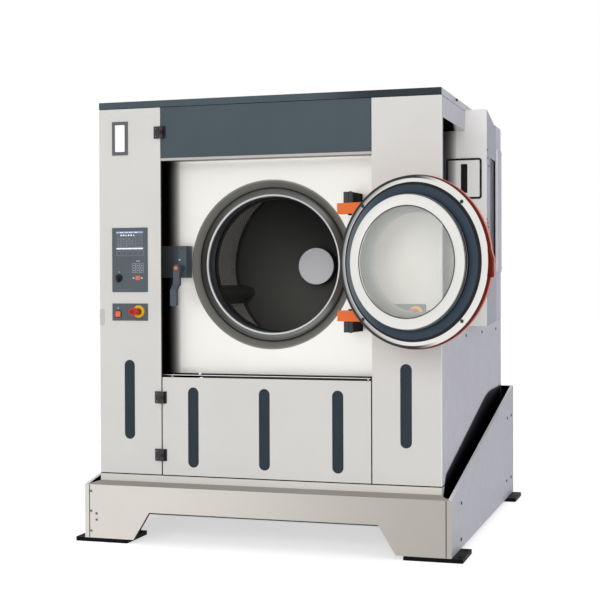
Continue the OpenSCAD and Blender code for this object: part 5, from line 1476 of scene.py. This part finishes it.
# tower: curved shutter behind the side window, liner of the hatch grip
shutter = {"y": (-207, 134), "z": (1403, 1935), "outX": 984, "deep": 17, "fadeIn": (-0.205, -0.11),
           "fadeOut": (-0.07, 0.05), "dark": (44, 41, 50), "rear": (92, 88, 100), "thick": 2,
           "steps": 18}


def makeShutter(s):
    bm = bmesh.new()
    low, high = s["z"]
    outer, inner = [], []
    for k in range(s["steps"] + 1):
        t = k / s["steps"]
        y = s["y"][0] + (s["y"][1] - s["y"][0]) * t
        x = s["outX"] - s["deep"] * (1 - math.cos(t * math.pi / 2)) ** 0.9
        outer.append((x, y))
        inner.append((x - s["thick"], y))
    prism(bm, outer + inner[::-1], low, high)
    piece("tower_shutter", bm, "shutterPaint", "cabinet", "dark_plastic", 60)
    # painted shade: the shutter darker towards both ends
    tree, shader, at, shown = parts(finishes["shutterPaint"])
    y = spread(tree, at)["Y"]
    shown = mixColour(tree, ranged(tree, y, *s["fadeIn"]), shown, s["dark"])
    paint(tree, shader, mixColour(tree, ranged(tree, y, *s["fadeOut"]), shown, s["rear"]))


makeShutter(shutter)

gripLiner = {"x": (854.6, 887.4), "z": (1754.6, 1901.4), "y": (-312.6, -286.6), "thick": 0.8}


def makeGripLiner(g):
    bm = bmesh.new()
    w, h = g["x"][1] - g["x"][0], g["z"][1] - g["z"][0]
    place = spot("front", sum(g["x"]) / 2, g["y"][1], sum(g["z"]) / 2)
    depth = g["y"][1] - g["y"][0]
    outline = roundRect(w, h, 3)
    inner = inset(outline, g["thick"])
    loops = [ring(bm, place, [(x, y, 0) for x, y in outline]),
             ring(bm, place, [(x, y, depth) for x, y in outline]),
             ring(bm, place, [(x, y, depth) for x, y in inner]),
             ring(bm, place, [(x, y, g["thick"]) for x, y in inner])]
    skin(bm, loops)
    piece("grip_liner", bm, "blackPaint", "hatch", "dark_plastic")


makeGripLiner(gripLiner)
print("tower dressed")


# floor, world and lamps
studio = {
    "floorRadius": 40.0, "floorColour": (238, 238, 240), "floorLift": 0.6,
    "skyLevel": 0.5, "skyTint": (0.97, 0.98, 1.0),
    "lamps": [
        {"name": "keyLamp", "place": (0.6, -14.0, 3.0), "size": 10.0, "power": 965,
         "tint": (1.0, 0.985, 0.965)},
        {"name": "fillLamp", "place": (8.5, -4.0, 4.0), "size": 5.0, "power": 50,
         "tint": (0.8, 0.84, 1.0)},
    ],
    "aim": (0, 0, 1.1),
}


def backgroundRays(tree):  # camera, glossy and transmission rays see the plain white surround
    path = addNode(tree, "ShaderNodeLightPath")
    seen = mathNode(tree, "MAXIMUM", path.outputs["Is Camera Ray"], path.outputs["Is Glossy Ray"])
    return mathNode(tree, "MAXIMUM", seen, path.outputs["Is Transmission Ray"])


def makeStudio(s):
    bm = bmesh.new()
    turned(bm, Matrix.Identity(4), [(s["floorRadius"], 0), (6, 0), (3, 0), (0, 0)], 64)
    mesh = bpy.data.meshes.new("floor")
    bmesh.ops.recalc_face_normals(bm, faces=bm.faces)
    bm.to_mesh(mesh)
    bm.free()
    if mesh.polygons[0].normal.z < 0:
        mesh.flip_normals()
    floor = bpy.data.objects.new("floor", mesh)
    bpy.context.scene.collection.objects.link(floor)
    mat = bpy.data.materials.new("floorPaper")
    mat.use_nodes = True
    tree = mat.node_tree
    shader = tree.nodes["Principled BSDF"]
    place = addNode(tree, "ShaderNodeTexCoord").outputs["Object"]
    paper = tone(*s["floorColour"])
    paint(tree, shader,
          mixColour(tree, noise(tree, place, 2, 2), scaled(paper, 0.99), scaled(paper, 1.01)))
    shader.inputs["Roughness"].default_value = 0.9
    shader.inputs["Specular IOR Level"].default_value = 0.1
    shader.inputs["Emission Color"].default_value = (1, 1, 1, 1)
    lift = times(tree, backgroundRays(tree), s["floorLift"])
    tree.links.new(lift, shader.inputs["Emission Strength"])
    mesh.materials.append(mat)

    world = bpy.data.worlds.new("studioWorld")
    bpy.context.scene.world = world
    world.use_nodes = True
    tree = world.node_tree
    back = tree.nodes["Background"]
    back.inputs["Color"].default_value = (*s["skyTint"], 1)
    back.inputs["Strength"].default_value = s["skyLevel"]
    white = addNode(tree, "ShaderNodeBackground", {"Color": (1, 1, 1, 1), "Strength": 1.0})
    mix = addNode(tree, "ShaderNodeMixShader")
    tree.links.new(backgroundRays(tree), mix.inputs[0])
    tree.links.new(back.outputs[0], mix.inputs[1])
    tree.links.new(white.outputs[0], mix.inputs[2])
    tree.links.new(mix.outputs[0], tree.nodes["World Output"].inputs[0])

    for lamp in s["lamps"]:
        data = bpy.data.lights.new(lamp["name"], "AREA")
        data.size = lamp["size"]
        data.energy = lamp["power"]
        data.color = lamp["tint"]
        obj = bpy.data.objects.new(lamp["name"], data)
        obj.location = lamp["place"]
        obj.rotation_euler = (Vector(s["aim"]) - Vector(lamp["place"])).to_track_quat("-Z",
                                                                                      "Y").to_euler()
        obj.visible_glossy = False  # steel shows the plain surround, not the lamps
        bpy.context.scene.collection.objects.link(obj)


makeStudio(studio)
print("studio made")
